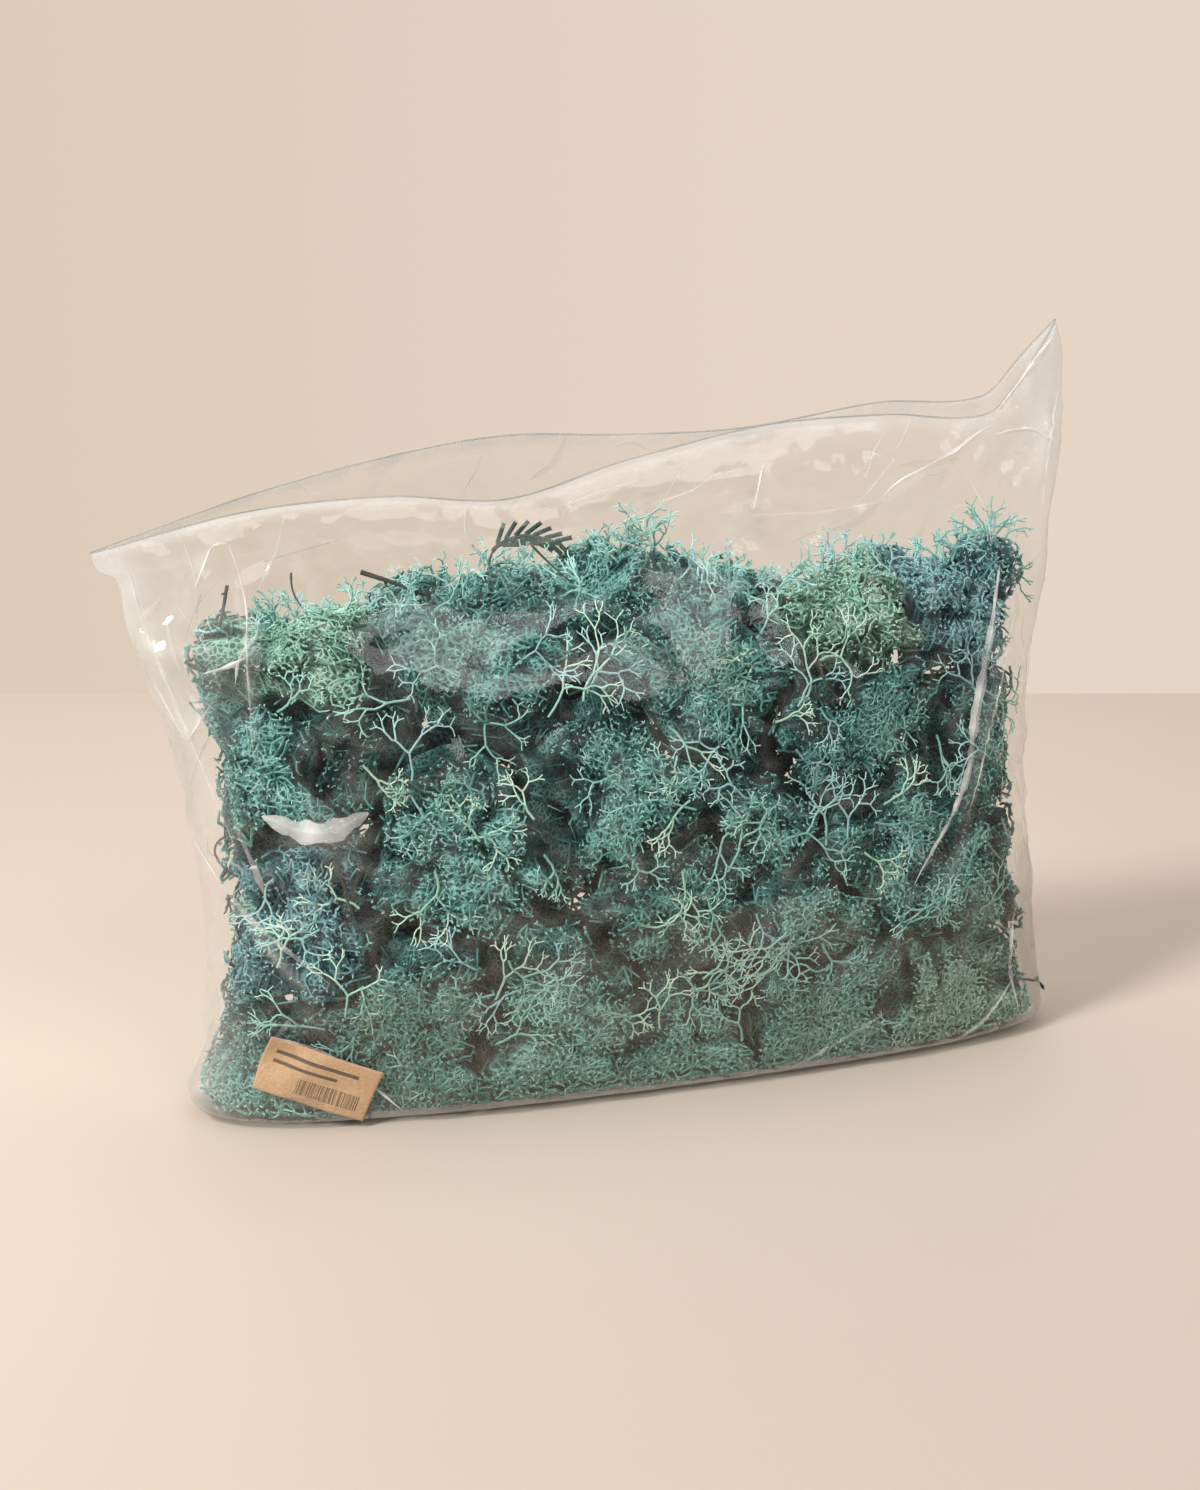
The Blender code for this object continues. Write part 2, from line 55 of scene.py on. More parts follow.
CAMERA_DOWN = math.radians(13)
CAMERA_TURN = math.radians(19.757)
CAMERA_LENS = 57.99
SENSOR_WIDTH = 36.0
FLOOR_DEPTH = 1.933
FLOOR_NEAR = 0.60
FLOOR_SPREAD = 4.0
FLOOR_GAP = 0.0003
ROOM_STRENGTH = 0.95
# Soft lights: name, place, width, height, power and colour. All look at the middle of the bag.
LIGHT_TARGET = (0.0, 0.0, 0.13)
AREA_LIGHTS = (
    ("window", (-2.0, -1.0, 1.8), 0.55, 0.75, 76.0, (1.0, 0.985, 0.96)),
    ("fill", (0.6, -2.5, 1.7), 1.6, 1.2, 24.0, (1.0, 0.99, 0.98)),
    ("top", (0.1, 0.3, 2.0), 1.6, 1.2, 10.0, (1.0, 0.99, 0.97)),
    ("behind", (0.5, 1.7, 1.0), 1.4, 0.8, 5.0, (1.0, 0.97, 0.94)),
)

# The film's outline on the way up, as the solid has it: share of the way, left edge x and z, right
# edge x and z, half depth, and how boxy the section is.
BAG_LEVELS = (
    (0.00, -0.176, 0.000, 0.202, 0.000, 0.046, 0.55),
    (0.05, -0.197, 0.006, 0.225, 0.006, 0.056, 0.58),
    (0.13, -0.190, 0.032, 0.220, 0.032, 0.063, 0.62),
    (0.30, -0.187, 0.085, 0.216, 0.083, 0.066, 0.66),
    (0.47, -0.194, 0.140, 0.212, 0.137, 0.063, 0.70),
    (0.62, -0.206, 0.188, 0.214, 0.190, 0.054, 0.74),
    (0.76, -0.217, 0.222, 0.223, 0.240, 0.038, 0.80),
    (0.88, -0.221, 0.241, 0.230, 0.290, 0.020, 0.90),
    (0.95, -0.2285, 0.246, 0.2312, 0.320, 0.009, 1.00),
    (1.00, -0.2315, 0.254, 0.2260, 0.343, 0.004, 1.00),
)
LIP_RISE = (
    (0.00, 0.000, 0.000),
    (0.14, 0.007, 0.002),
    (0.28, 0.010, -0.006),
    (0.40, 0.007, -0.020),
    (0.52, -0.005, -0.016),
    (0.66, -0.016, -0.015),
    (0.80, -0.019, -0.024),
    (0.92, -0.028, -0.036),
    (0.965, -0.012, -0.020),
    (1.00, 0.000, 0.000),
)
LIP_STARTS = 0.55
SLACK_STARTS = 0.62
SLACK_SWAY = 0.007
FILM_RELIEF = 0.0035
FILM_WAVE = 0.050
CREASE_FROM = (-0.188, 0.050)
CREASE_TO = (-0.112, 0.004)
CREASE_DEPTH = 0.008
CREASE_WIDTH = 0.010
# Shares of the height over which the film's waves grow from its base and fade towards its mouth.
WAVES_GROW = 0.12
WAVES_FADE = 0.35

# Film: mesh counts, wall, and its crinkles. Where lichen presses on it, crinkles only stand out.
FILM_COLUMNS = 300
FILM_ROWS = 110
FILM_WALL = 0.00015
THINNEST_WALL = 0.00002
WALL_SHARE = 0.3
BASE_HAZE = 0.1
CRINKLE_SIZES = ((0.034, 0.0016), (0.015, 0.0007))
PRESSED_SHARE = 0.45
SLACK_FROM = 0.215
SLACK_TO = 0.250
# The empty strips at the bag's two sides: how far from the middle they start, and over what width.
STRIP_MIDDLE = 0.012
STRIP_FROM = 0.185
STRIP_WIDTH = 0.025

# How cloudy white the film is: everywhere, on its rim, ear, peak, left and right strips, and by the floor.
# The left strip is whiter than the right as a painted highlight.
CLEAR_HAZE = 0.006
RIM_HAZE = 0.75
EAR_HAZE = 0.55
PEAK_HAZE = 0.45
LEFT_HAZE_AND_HIGHLIGHT = 0.32
RIGHT_HAZE = 0.12
LOW_HAZE = 0.12
# Where those parts start: the rim by its share of the height, the ear and the peak by x and z.
RIM_FROM = 0.975
EAR_FROM = (-0.205, 0.20)
PEAK_FROM = (0.165, 0.26)
LOW_UNDER = 0.016

# Folds of the film on its front: start x and z, end x and z, how far it stands out, and its width.
FOLDS = (
    (-0.218, 0.250, -0.176, 0.120, 0.0030, 0.0035),
    (-0.174, 0.258, -0.170, 0.165, 0.0024, 0.0022),
    (-0.192, 0.240, -0.180, 0.256, 0.0020, 0.0025),
    (-0.216, 0.214, -0.174, 0.212, 0.0026, 0.0030),
    (-0.210, 0.203, -0.197, 0.172, 0.0024, 0.0028),
    (-0.197, 0.172, -0.186, 0.193, 0.0020, 0.0025),
    (0.200, 0.236, 0.146, 0.082, 0.0042, 0.0032),
    (0.190, 0.306, 0.167, 0.281, 0.0030, 0.0025),
    (0.167, 0.281, 0.122, 0.262, 0.0026, 0.0024),
    (0.190, 0.306, 0.226, 0.286, 0.0026, 0.0026),
    (0.224, 0.342, 0.190, 0.303, 0.0030, 0.0022),
    (0.221, 0.306, 0.212, 0.258, 0.0026, 0.0026),
    (-0.060, 0.268, -0.046, 0.292, 0.0022, 0.0032),
    (0.070, 0.262, 0.074, 0.284, 0.0018, 0.0022),
    (0.046, 0.280, 0.150, 0.297, 0.0018, 0.0030),
    (-0.165, 0.134, -0.122, 0.134, 0.0030, 0.0060),
    (0.205, 0.150, 0.190, 0.060, 0.0028, 0.0030),
    (0.212, 0.110, 0.196, 0.030, 0.0022, 0.0026),
    (-0.180, 0.100, -0.150, 0.060, 0.0020, 0.0030),
)
# Painted reflection of the floor over the film's lower front: its upper edge, x and z, and how much it
# hides.
FLOOR_REFLECTION_EDGE = (
    (-0.230, 0.030),
    (-0.150, 0.060),
    (-0.114, 0.068),
    (-0.082, 0.073),
    (-0.040, 0.080),
    (-0.003, 0.086),
    (0.027, 0.087),
    (0.056, 0.096),
    (0.086, 0.088),
    (0.112, 0.066),
    (0.138, 0.076),
    (0.180, 0.094),
    (0.235, 0.100),
)
FLOOR_REFLECTION_STRENGTH = 0.13
MILK_AND_HIGHLIGHT_STRENGTH = 0.34
FLOOR_REFLECTION_SOFTNESS = 0.003

# Sharp pleats on the front: their x and z, width, height, and how cloudy white they are, partly as painted
# highlights.
PLEATS = (
    # The bright crescent, whitened as a painted highlight.
    (((-0.170, 0.1435), (-0.156, 0.1375), (-0.143, 0.1370), (-0.127, 0.1445)), 0.0140, 0.0018, 1.7),
    (((-0.218, 0.253), (-0.211, 0.219), (-0.202, 0.193), (-0.190, 0.157), (-0.179, 0.124)),
     0.0024, 0.0012, 1.2),
    (((-0.175, 0.259), (-0.171, 0.234), (-0.173, 0.212), (-0.173, 0.191), (-0.172, 0.164)),
     0.0015, 0.0010, 1.1),
    # Small triangles by the left ear, whitened as painted highlights.
    (((-0.191, 0.239), (-0.186, 0.248), (-0.182, 0.255)), 0.0022, 0.0010, 1.8),
    (((-0.182, 0.255), (-0.178, 0.256), (-0.175, 0.256)), 0.0020, 0.0010, 1.8),
    (((-0.216, 0.213), (-0.203, 0.207), (-0.191, 0.204)), 0.0024, 0.0010, 1.5),
    (((-0.191, 0.204), (-0.181, 0.207), (-0.172, 0.212)), 0.0024, 0.0010, 1.5),
    (((-0.210, 0.202), (-0.204, 0.188), (-0.198, 0.175)), 0.0020, 0.0010, 1.5),
    (((-0.198, 0.175), (-0.193, 0.183), (-0.187, 0.192)), 0.0020, 0.0010, 1.5),
    (((0.190, 0.232), (0.181, 0.204), (0.169, 0.166), (0.157, 0.128), (0.130, 0.089)), 0.0055, 0.0016, 1.5),
    (((0.196, 0.216), (0.186, 0.186), (0.172, 0.150), (0.160, 0.118)), 0.0014, 0.0010, 1.0),
    (((0.190, 0.294), (0.179, 0.288), (0.167, 0.281), (0.139, 0.271), (0.127, 0.264)), 0.0028, 0.0014, 1.8),
    (((0.179, 0.303), (0.188, 0.294), (0.194, 0.286)), 0.0026, 0.0014, 2.0),
    (((0.194, 0.290), (0.205, 0.292), (0.215, 0.291), (0.224, 0.284)), 0.0024, 0.0012, 1.8),
    (((0.224, 0.334), (0.216, 0.326), (0.208, 0.316), (0.194, 0.300)), 0.0020, 0.0012, 2.0),
    (((0.228, 0.310), (0.224, 0.296), (0.221, 0.284), (0.217, 0.257)), 0.0024, 0.0012, 1.8),
    (((-0.062, 0.262), (-0.058, 0.272), (-0.052, 0.284)), 0.0040, 0.0014, 2.2),
    (((0.062, 0.262), (0.068, 0.272), (0.072, 0.282)), 0.0018, 0.0010, 1.3),
    (((-0.167, 0.042), (-0.146, 0.035), (-0.129, 0.021), (-0.113, 0.006)), 0.0026, 0.0014, 1.6),
    (((0.212, 0.200), (0.208, 0.160), (0.206, 0.120), (0.210, 0.080)), 0.0018, 0.0010, 1.2),
    (((0.216, 0.110), (0.206, 0.070), (0.196, 0.030)), 0.0018, 0.0010, 1.2),
    (((0.043, 0.290), (0.032, 0.279), (0.019, 0.263)), 0.0014, 0.0006, 0.7),
    (((-0.034, 0.263), (-0.008, 0.270), (0.014, 0.276)), 0.0030, 0.0006, 0.4),
    (((0.049, 0.260), (0.092, 0.259), (0.133, 0.263)), 0.0022, 0.0006, 0.5),
    (((-0.066, 0.270), (-0.089, 0.264), (-0.107, 0.247)), 0.0020, 0.0007, 0.6),
    (((-0.197, 0.028), (-0.185, 0.044), (-0.175, 0.048), (-0.159, 0.036)), 0.0022, 0.0012, 1.5),
    (((-0.201, 0.022), (-0.196, 0.012), (-0.188, 0.004)), 0.0022, 0.0010, 1.2),
    (((-0.185, 0.111), (-0.174, 0.095), (-0.145, 0.069)), 0.0034, 0.0012, 0.6),
    (((-0.181, 0.141), (-0.173, 0.119), (-0.169, 0.107)), 0.0044, 0.0012, 0.6),
    (((0.196, 0.070), (0.192, 0.040), (0.198, 0.014)), 0.0030, 0.0012, 1.0),
    (((0.194, 0.030), (0.175, 0.012), (0.157, 0.004)), 0.0030, 0.0012, 0.8),
    (((0.119, 0.028), (0.092, 0.014), (0.070, 0.005)), 0.0034, 0.0010, 0.5),
    (((-0.205, 0.235), (-0.214, 0.222), (-0.205, 0.210)), 0.0060, 0.0012, 0.9),
    (((-0.198, 0.200), (-0.192, 0.186), (-0.196, 0.178)), 0.0050, 0.0012, 0.9),
)
# Small pleats: how many, the share on the two side strips, and the ranges of x, z, length and bend.
PLEAT_SEED = 11
SMALL_PLEATS = 100
STRIP_PLEATS = 0.75
LEFT_PLEATS_X = (-0.212, -0.175)
RIGHT_PLEATS_X = (0.180, 0.218)
STRIP_PLEATS_Z = (0.02, 0.24)
TOP_PLEATS_X = (-0.19, 0.20)
TOP_PLEATS_Z = (0.235, 0.29)
PLEAT_LENGTHS = (0.010, 0.045)
PLEAT_BENDS = (-0.004, 0.004)
PLEAT_STEP = 0.0022
PLEAT_LIFT = 0.00025
PLEAT_JUMP = 0.006
FEWEST_SPOTS = 5
# Folds of the back: how many, and the ranges of x, z, length, height and width.
BACK_FOLDS = 16
FOLD_SEED = 5
FOLD_X = (-0.20, 0.20)
FOLD_Z = (0.04, 0.27)
FOLD_LENGTHS = (0.03, 0.09)
FOLD_HEIGHTS = (0.0015, 0.0030)
FOLD_WIDTHS = (0.0024, 0.0036)
LIP_RADIUS = 0.00045
LIP_SIDES = 5

# Fine heads of lichen, each in the place of its solid.
HEAD_SEED = 23
NODE_PREFIX = "lichen_head_"
DIRECTIONS = 9000
FINE_SPACING = 0.0022
COARSE_SPACING = 0.0075
SEEN_DEPTH = 0.018
SEEN_HEIGHT = 0.215
HEAD_REACH = 0.066
SEAM_STEP = 0.0025
SEAM_WAVES = ((0.0125, 0.0085), (0.0045, 0.0036))
# The top of the lichen, x and z, and how far it keeps from the film's two side edges.
MOSS_TOP = (
    (-0.230, 0.220),
    (-0.204, 0.222),
    (-0.167, 0.229),
    (-0.127, 0.231),
    (-0.095, 0.236),
    (-0.071, 0.246),
    (-0.038, 0.247),
    (-0.019, 0.239),
    (0.000, 0.260),
    (0.020, 0.254),
    (0.044, 0.240),
    (0.070, 0.237),
    (0.095, 0.233),
    (0.126, 0.243),
    (0.153, 0.240),
    (0.174, 0.243),
    (0.211, 0.254),
    (0.240, 0.240),
)
TOP_DROP = 0.010
SIDE_GAPS = (
    (0.00, 0.003, 0.006),
    (0.05, 0.006, 0.008),
    (0.09, 0.010, 0.010),
    (0.14, 0.015, 0.011),
    (0.20, 0.020, 0.011),
    (0.24, 0.011, 0.016),
)
EDGE_ROUNDING = 0.0040
HOLLOW_SIZE = 0.030
HOLLOW_DEPTH = 0.0095
# Share of the sink in hollows that is left out of the painted shade of depth.
HOLLOW_SHADE_SPARED = 0.55
HOLLOW_STEEPNESS = 3.2
HOLLOW_THRESHOLD = 0.75
# Hollows seen on the front, sunk and painted darker as shade, and full pale tufts: x, z and how wide.
SHADED_HOLLOW_PLACES = (
    (0.105, 0.126, 0.011),
    (0.022, 0.088, 0.008),
    (-0.020, 0.186, 0.007),
    (-0.072, 0.198, 0.006),
    (0.050, 0.158, 0.006),
    (-0.112, 0.170, 0.006),
    (-0.060, 0.112, 0.005),
)
FULL_PLACES = (
    (0.076, 0.189, 0.020),
    (-0.146, 0.198, 0.014),
    (-0.105, 0.130, 0.020),
    (-0.029, 0.105, 0.016),
    (0.045, 0.130, 0.016),
)
FLOOR_FILL = 0.020
EDGE_REACH = 0.009
TUFT_DEPTH = 0.0085
TUFT_SPACING = 0.0120
TUFT_SIZES = (0.0055, 0.0090)
TUFT_DROP = 0.0040
LEAST_REACH_SHARE = 0.55
LARGEST_TUFT_SHARE = 0.45
RADIAL_JITTER = 0.0005
EDGE_GAP = 0.0022
ROOT_SPACING = 0.0100

# Strands: how unevenly paths are chosen, tones from root to end, and their forked ends. Tones low in the
# heads are painted shade, and paler ones towards their outsides are painted light.
PATH_WHIM = (0.25, 1.75)
CORE_PAINTED_SHADE_TONES = (0.03, 0.34)
STRAND_TONES = (0.16, 0.46)
OUTER_PAINTED_LIGHT = 0.42
SPROUT_SEED = 77.0
SPROUT_SHARE = 0.30
TINE_SEEDS = (31.0, 32.0)
TINE_RADIUS = 0.00024
STRAND_SIDES = 3

# Sprays seen on the bag: x, z, side (-1 on the front film, 0 on the top), turn in degrees, length of a
# stretch, and dye.
CHOSEN_SPRAYS = (
    (-0.046, 0.180, -1, 60, 0.014, "lichen_mint"),
    (-0.030, 0.186, -1, 110, 0.013, "lichen_mint"),
    (0.035, 0.105, -1, 40, 0.016, "lichen_teal"),
    (0.060, 0.115, -1, 10, 0.016, "lichen_teal"),
    (0.085, 0.112, -1, 80, 0.014, "lichen_blue"),
    (0.020, 0.135, -1, 150, 0.015, "lichen_teal"),
    (0.078, 0.180, -1, 70, 0.012, "lichen_mint"),
    (0.070, 0.190, -1, 120, 0.012, "lichen_mint"),
    (0.085, 0.195, -1, 40, 0.012, "lichen_mint"),
    (0.004, 0.236, 0, 100, 0.011, "lichen_teal"),
    (0.012, 0.236, 0, 75, 0.011, "lichen_teal"),
    (0.020, 0.234, 0, 60, 0.011, "lichen_teal"),
    (0.186, 0.222, 0, 80, 0.013, "lichen_deep"),
    (0.192, 0.226, 0, 95, 0.012, "lichen_deep"),
    (0.196, 0.220, 0, 70, 0.013, "lichen_deep"),
    (0.200, 0.216, 0, 85, 0.014, "lichen_deep"),
    (0.192, 0.210, 0, 60, 0.013, "lichen_deep"),
)
# Dark dead stems among the lichen: x and z of both ends, and the radius.
LITTER = (
    (-0.180, 0.130, -0.169, 0.145, 0.0006),
    (-0.128, 0.119, -0.133, 0.098, 0.0015),
    (-0.181, 0.103, -0.183, 0.094, 0.0006),
    (-0.196, 0.208, -0.189, 0.204, 0.0008),
    (-0.149, 0.243, -0.147, 0.230, 0.0005),
    (0.084, 0.199, 0.092, 0.182, 0.0009),
    (-0.080, 0.126, -0.074, 0.117, 0.0010),
    (0.099, 0.138, 0.106, 0.116, 0.0008),
    (-0.004, 0.166, 0.010, 0.157, 0.0006),
    (0.028, 0.078, 0.037, 0.088, 0.0007),
    (-0.143, 0.175, -0.131, 0.179, 0.0009),
    (0.112, 0.223, 0.119, 0.204, 0.0006),
    (0.174, 0.238, 0.178, 0.217, 0.0005),
    (-0.040, 0.250, -0.026, 0.234, 0.0006),
    (0.139, 0.177, 0.136, 0.153, 0.0005),
)
# The twigs, as their solids lie: name, radius, and points by x, depth behind the front film, and z.
STICKS = (
    ("twig_low_left", 0.0013, ((-0.141, 0.0030, 0.123), (-0.137, 0.0022, 0.112), (-0.135, 0.0030, 0.100))),
    ("twig_right", 0.0009, ((0.085, 0.0028, 0.196), (0.087, 0.0020, 0.186), (0.094, 0.0028, 0.177))),
    ("twig_top_left", 0.0014, ((-0.114, 0.0300, 0.239), (-0.100, 0.0290, 0.234), (-0.086, 0.0300, 0.228))),
    ("twig_far_left", 0.0010, ((-0.172, 0.0300, 0.235), (-0.176, 0.0290, 0.222), (-0.181, 0.0300, 0.205))),
    ("stem_curled", 0.0007, ((-0.171, 0.0400, 0.124), (-0.178, 0.0400, 0.122), (-0.181, 0.0400, 0.115),
                             (-0.177, 0.0400, 0.107), (-0.168, 0.0400, 0.102))),
)
TWIG_SEED = 4
TWIG_POINTS = 26
TWIG_TAPER = 0.45
TWIG_STUB_STEP = 6
TWIG_STUB_LENGTH = 2.2
TWIG_STUB_WIDTH = 0.45
TWIG_SIDES = 8

# The conifer sprig's stem, as above, its side twigs and its scale leaves.
SPRIG_POINTS = ((-0.057, 0.0280, 0.2360), (-0.050, 0.0280, 0.2460), (-0.035, 0.0270, 0.2500),
                (-0.020, 0.0280, 0.2465))
STEM_POINTS = 40
BARE_POINTS = 10
STEM_WIDTH = 0.0014
LEAFLETS = 14
LEAFLET_LENGTH = 0.0120
LEAFLET_ANGLE = math.radians(30)
LEAFLET_TAPER = 0.35
SCALE_LENGTH = 0.0022
SCALE_WIDTH = 0.0012
SCALE_SPLAY = 0.55
SCALE_STAND = 0.0003

# Loose strands that poke out at the right foot of the bag: where they start, and their way.
STRAY_FOOT = (0.2190, -0.008, 0.017)
STRAY_WAY = (1.0, -0.1, -0.1)
STRAY_LENGTH = 0.0055
STRAY_LEVELS = 3
STRAY_RADIUS = 0.0006
STRAY_TONE = 0.30

# Dead stems: how far behind the film they lie, how far they bend, and their mesh.
LITTER_SEED = 9
LITTER_GAP = 0.0026
LITTER_BEND = 0.0016
LITTER_STEPS = 8
LITTER_SIDES = 7

# Sprays: how many there are, how often they fork, their gap to the film, radii and tone.
SPRAY_SEED = 31
PRESSED_SPRAYS = 100
TOP_SPRAYS = 110
SPRAY_LEVELS = 5
TOP_LEVELS = 5
SPRAY_STEPS = 3
SPRAY_GAP = 0.0022
SPRAY_FOOT = 0.00066
SPRAY_END = 0.00028
SPRAY_UNEVEN = 0.0012
SPRAY_WANDER = 0.22
FORK_SPREAD = (0.35, 0.85)
FORK_LENGTHS = (0.62, 0.86)
LEAST_ROOM = 0.008
SPRAY_TONE = 0.62
PRESSED_FLAT = 0.15
PRESSED_X = (-0.17, 0.19)
PRESSED_Z = (0.02, 0.21)
PRESSED_LENGTHS = (0.007, 0.013)
PRESSED_DYES = ("lichen_teal", "lichen_teal", "lichen_blue", "lichen_mint")
TOP_LEFT = -0.175
TOP_WIDTH = 0.375
TOP_SINK = 0.020
TOP_LENGTHS = (0.006, 0.0095)
TOP_DYES = ("lichen_teal", "lichen_teal", "lichen_blue", "lichen_deep")

# How far a head keeps from the twigs, and how far off the heads and twigs are that it looks at.
STICK_CLEARANCE = 0.0032
CLEARING_STEPS = 12
CLEARING_STEP = 0.0015
SHORTEST_REACH = 0.004
NEIGHBOUR_REACH = 0.13
STICK_REACH = 0.07

# The label: its slope, how finely it is laid, and its paper.
LABEL_SLOPE = math.radians(-21)
LABEL_INSET = 0.0001
LABEL_COLUMNS = 48
LABEL_ROWS = 24
LABEL_SMOOTHINGS = 6
LABEL_THICKNESS = 0.00035


def ease(value):
    """A soft step: nothing up to 0, one from 1 on."""
    value = min(max(value, 0.0), 1.0)
    return value * value * (3 - 2 * value)


def smooth_row(rows, at):
    """The row of a table at a value of its first column, on smooth curves through the rows."""
    last = len(rows) - 1
    i = min(max(sum(1 for row in rows if row[0] <= at) - 1, 0), last - 1)
    start, end = rows[i], rows[i + 1]
    before, after = rows[max(i - 1, 0)], rows[min(i + 2, last)]
    span = end[0] - start[0]
    t = (at - start[0]) / span
    found = []
    for k in range(1, len(start)):
        into = (end[k] - before[k]) / (end[0] - before[0]) * span
        out = (after[k] - start[k]) / (after[0] - start[0]) * span
        found.append((2 * t**3 - 3 * t**2 + 1) * start[k] + (t**3 - 2 * t**2 + t) * into
                     + (3 * t**2 - 2 * t**3) * end[k] + (t**3 - t**2) * out)
    return found


class Tree:
    """Short calls that add nodes to a node tree and link them."""

    def __init__(self, tree):
        self.tree = tree

    def add(self, kind, inputs=None, **settings):
        node = self.tree.nodes.new(kind)
        for name, value in settings.items():
            setattr(node, name, value)
        for key, value in (inputs or {}).items():
            socket = node.inputs[key]
            if isinstance(value, bpy.types.NodeSocket):
                self.tree.links.new(value, socket)
            else:
                socket.default_value = value
        return node

    def math(self, operation, a, b=0.0, c=0.0, clamp=False):
        node = self.add("ShaderNodeMath", {0: a, 1: b, 2: c}, operation=operation, use_clamp=clamp)
        return node.outputs[0]

    def range(self, value, low, high, to_low=0.0, to_high=1.0):
        node = self.add("ShaderNodeMapRange", {0: value, 1: low, 2: high, 3: to_low, 4: to_high})
        return node.outputs[0]

    def mix(self, share, a, b):
        """A colour between two colours."""
        node = self.add("ShaderNodeMix", {0: share, 6: a, 7: b}, data_type="RGBA")
        return node.outputs[2]

    def noise(self, place, scale, detail=2.0, roughness=0.5):
        node = self.add("ShaderNodeTexNoise", {"Vector": place, "Scale": scale, "Detail": detail,
                                               "Roughness": roughness})
        return node.outputs[0]

    def attribute(self, name):
        """A value kept on the mesh's points."""
        return self.add("ShaderNodeAttribute", attribute_name=name).outputs["Fac"]

    def bump(self, height, strength, distance):
        node = self.add("ShaderNodeBump", {"Strength": strength, "Distance": distance, "Height": height})
        return node.outputs[0]

    def blend(self, share, a, b):
        """A surface between two surfaces."""
        return self.add("ShaderNodeMixShader", {0: share, 1: a, 2: b}).outputs[0]

    def ramp(self, value, stops):
        node = self.add("ShaderNodeValToRGB", {0: value})
        bar = node.color_ramp.elements
        while len(bar) < len(stops):
            bar.new(0.5)
        for stop, (at, colour) in zip(bar, stops):
            stop.position = at
            stop.color = (*colour, 1.0)
        return node.outputs[0]


def new_material(name):
    """An empty node material and its tree."""
    made = bpy.data.materials.new(name)
    made.use_nodes = True
    made.node_tree.nodes.clear()
    return made, Tree(made.node_tree)


def end_surface(tree, surface):
    """Ends a material's tree with a surface."""
    tree.add("ShaderNodeOutputMaterial", {0: surface})


def end_rough(tree, colour, roughness, more=None):
    """Ends a material's tree with one rough coloured surface."""
    values = {"Base Color": colour, "Roughness": roughness, **(more or {})}
    end_surface(tree, tree.add("ShaderNodeBsdfPrincipled", values).outputs[0])


def object_place(tree):
    return tree.add("ShaderNodeTexCoord").outputs["Object"]


# Colours of the four dyes: the darkest, in hollows, the depth, the body and the pale ends; the darkest two
# are painted shade of the lichen's inside.
DYES = {
    "lichen_teal": ((0.004, 0.018, 0.018), (0.028, 0.126, 0.120),
                    (0.185, 0.450, 0.415), (0.520, 0.880, 0.820)),
    "lichen_mint": ((0.010, 0.026, 0.022), (0.070, 0.190, 0.150),
                    (0.330, 0.600, 0.490), (0.740, 0.980, 0.840)),
    "lichen_blue": ((0.005, 0.017, 0.022), (0.036, 0.125, 0.145),
                    (0.220, 0.460, 0.485), (0.560, 0.860, 0.870)),
    "lichen_deep": ((0.004, 0.012, 0.013), (0.022, 0.090, 0.086),
                    (0.125, 0.350, 0.320), (0.400, 0.740, 0.680)),
}


# The fine net painted on the deep parts: meshes per metre, how far its threads bend, how pale they are.
NET_SCALE = 400.0
NET_BEND = 0.0030
NET_TONE = 0.50
OLIVE_TINT = (1.0, 0.84, 0.66, 1.0)


def strand_net(tree, place):
    """A fine net for the deep parts of a head: one on its threads, nothing in its meshes."""
    drift = tree.add("ShaderNodeTexNoise", {"Vector": place, "Scale": 160.0, "Detail": 2.0})
    shifted = tree.add("ShaderNodeVectorMath", {0: drift.outputs["Color"], 1: (0.5, 0.5, 0.5)},
                       operation="SUBTRACT").outputs[0]
    bent = tree.add("ShaderNodeVectorMath", {0: shifted, 1: (NET_BEND, NET_BEND, NET_BEND), 2: place},
                    operation="MULTIPLY_ADD").outputs[0]
    cells = tree.add("ShaderNodeTexVoronoi", {"Vector": bent, "Scale": NET_SCALE},
                     feature="DISTANCE_TO_EDGE")
    return tree.range(cells.outputs["Distance"], 0.05, 0.24, 1.0, 0.0)


def lichen_material(name):
    """Dry dyed lichen: pale at its ends, painted near black as shade in its hollows, with patches of olive
    and blue.
    """
    made, tree = new_material(name)
    deep_shade, depth, body, tip = DYES[name]
    place = object_place(tree)
    tone_and_shade = tree.attribute("tone_and_shade")
    speckle = tree.noise(place, 900.0, 2.0)
    patch = tree.noise(place, 26.0, 3.0)
    uneven = tree.math("MULTIPLY_ADD", tree.math("SUBTRACT", speckle, 0.5), 0.35, tone_and_shade)
    net = tree.math("MULTIPLY", strand_net(tree, place), tree.attribute("core"))
    netted = tree.math("MULTIPLY_ADD", net, tree.range(tone_and_shade, 0.05, 0.34, NET_TONE * 0.25, NET_TONE), uneven)
    wide = tree.math("MULTIPLY_ADD", tree.math("SUBTRACT", patch, 0.5), 0.40, netted, clamp=True)
    # The two dark stops of the ramp paint the shade of hollows and of the inside.
    colour = tree.ramp(wide, ((0.0, deep_shade), (0.28, depth), (0.62, body), (1.0, tip)))
    olive = tree.range(tree.noise(place, 17.0, 2.0), 0.56, 0.74, 0.0, 0.38)
    browned = tree.add("ShaderNodeMix", {0: 1.0, 6: colour, 7: OLIVE_TINT}, data_type="RGBA",
                       blend_type="MULTIPLY").outputs[2]
    shifted = tree.mix(olive, colour, browned)
    end_rough(tree, shifted, 0.82, {"Specular IOR Level": 0.28, "Normal": tree.bump(net, 0.8, 0.0009)})
    return made


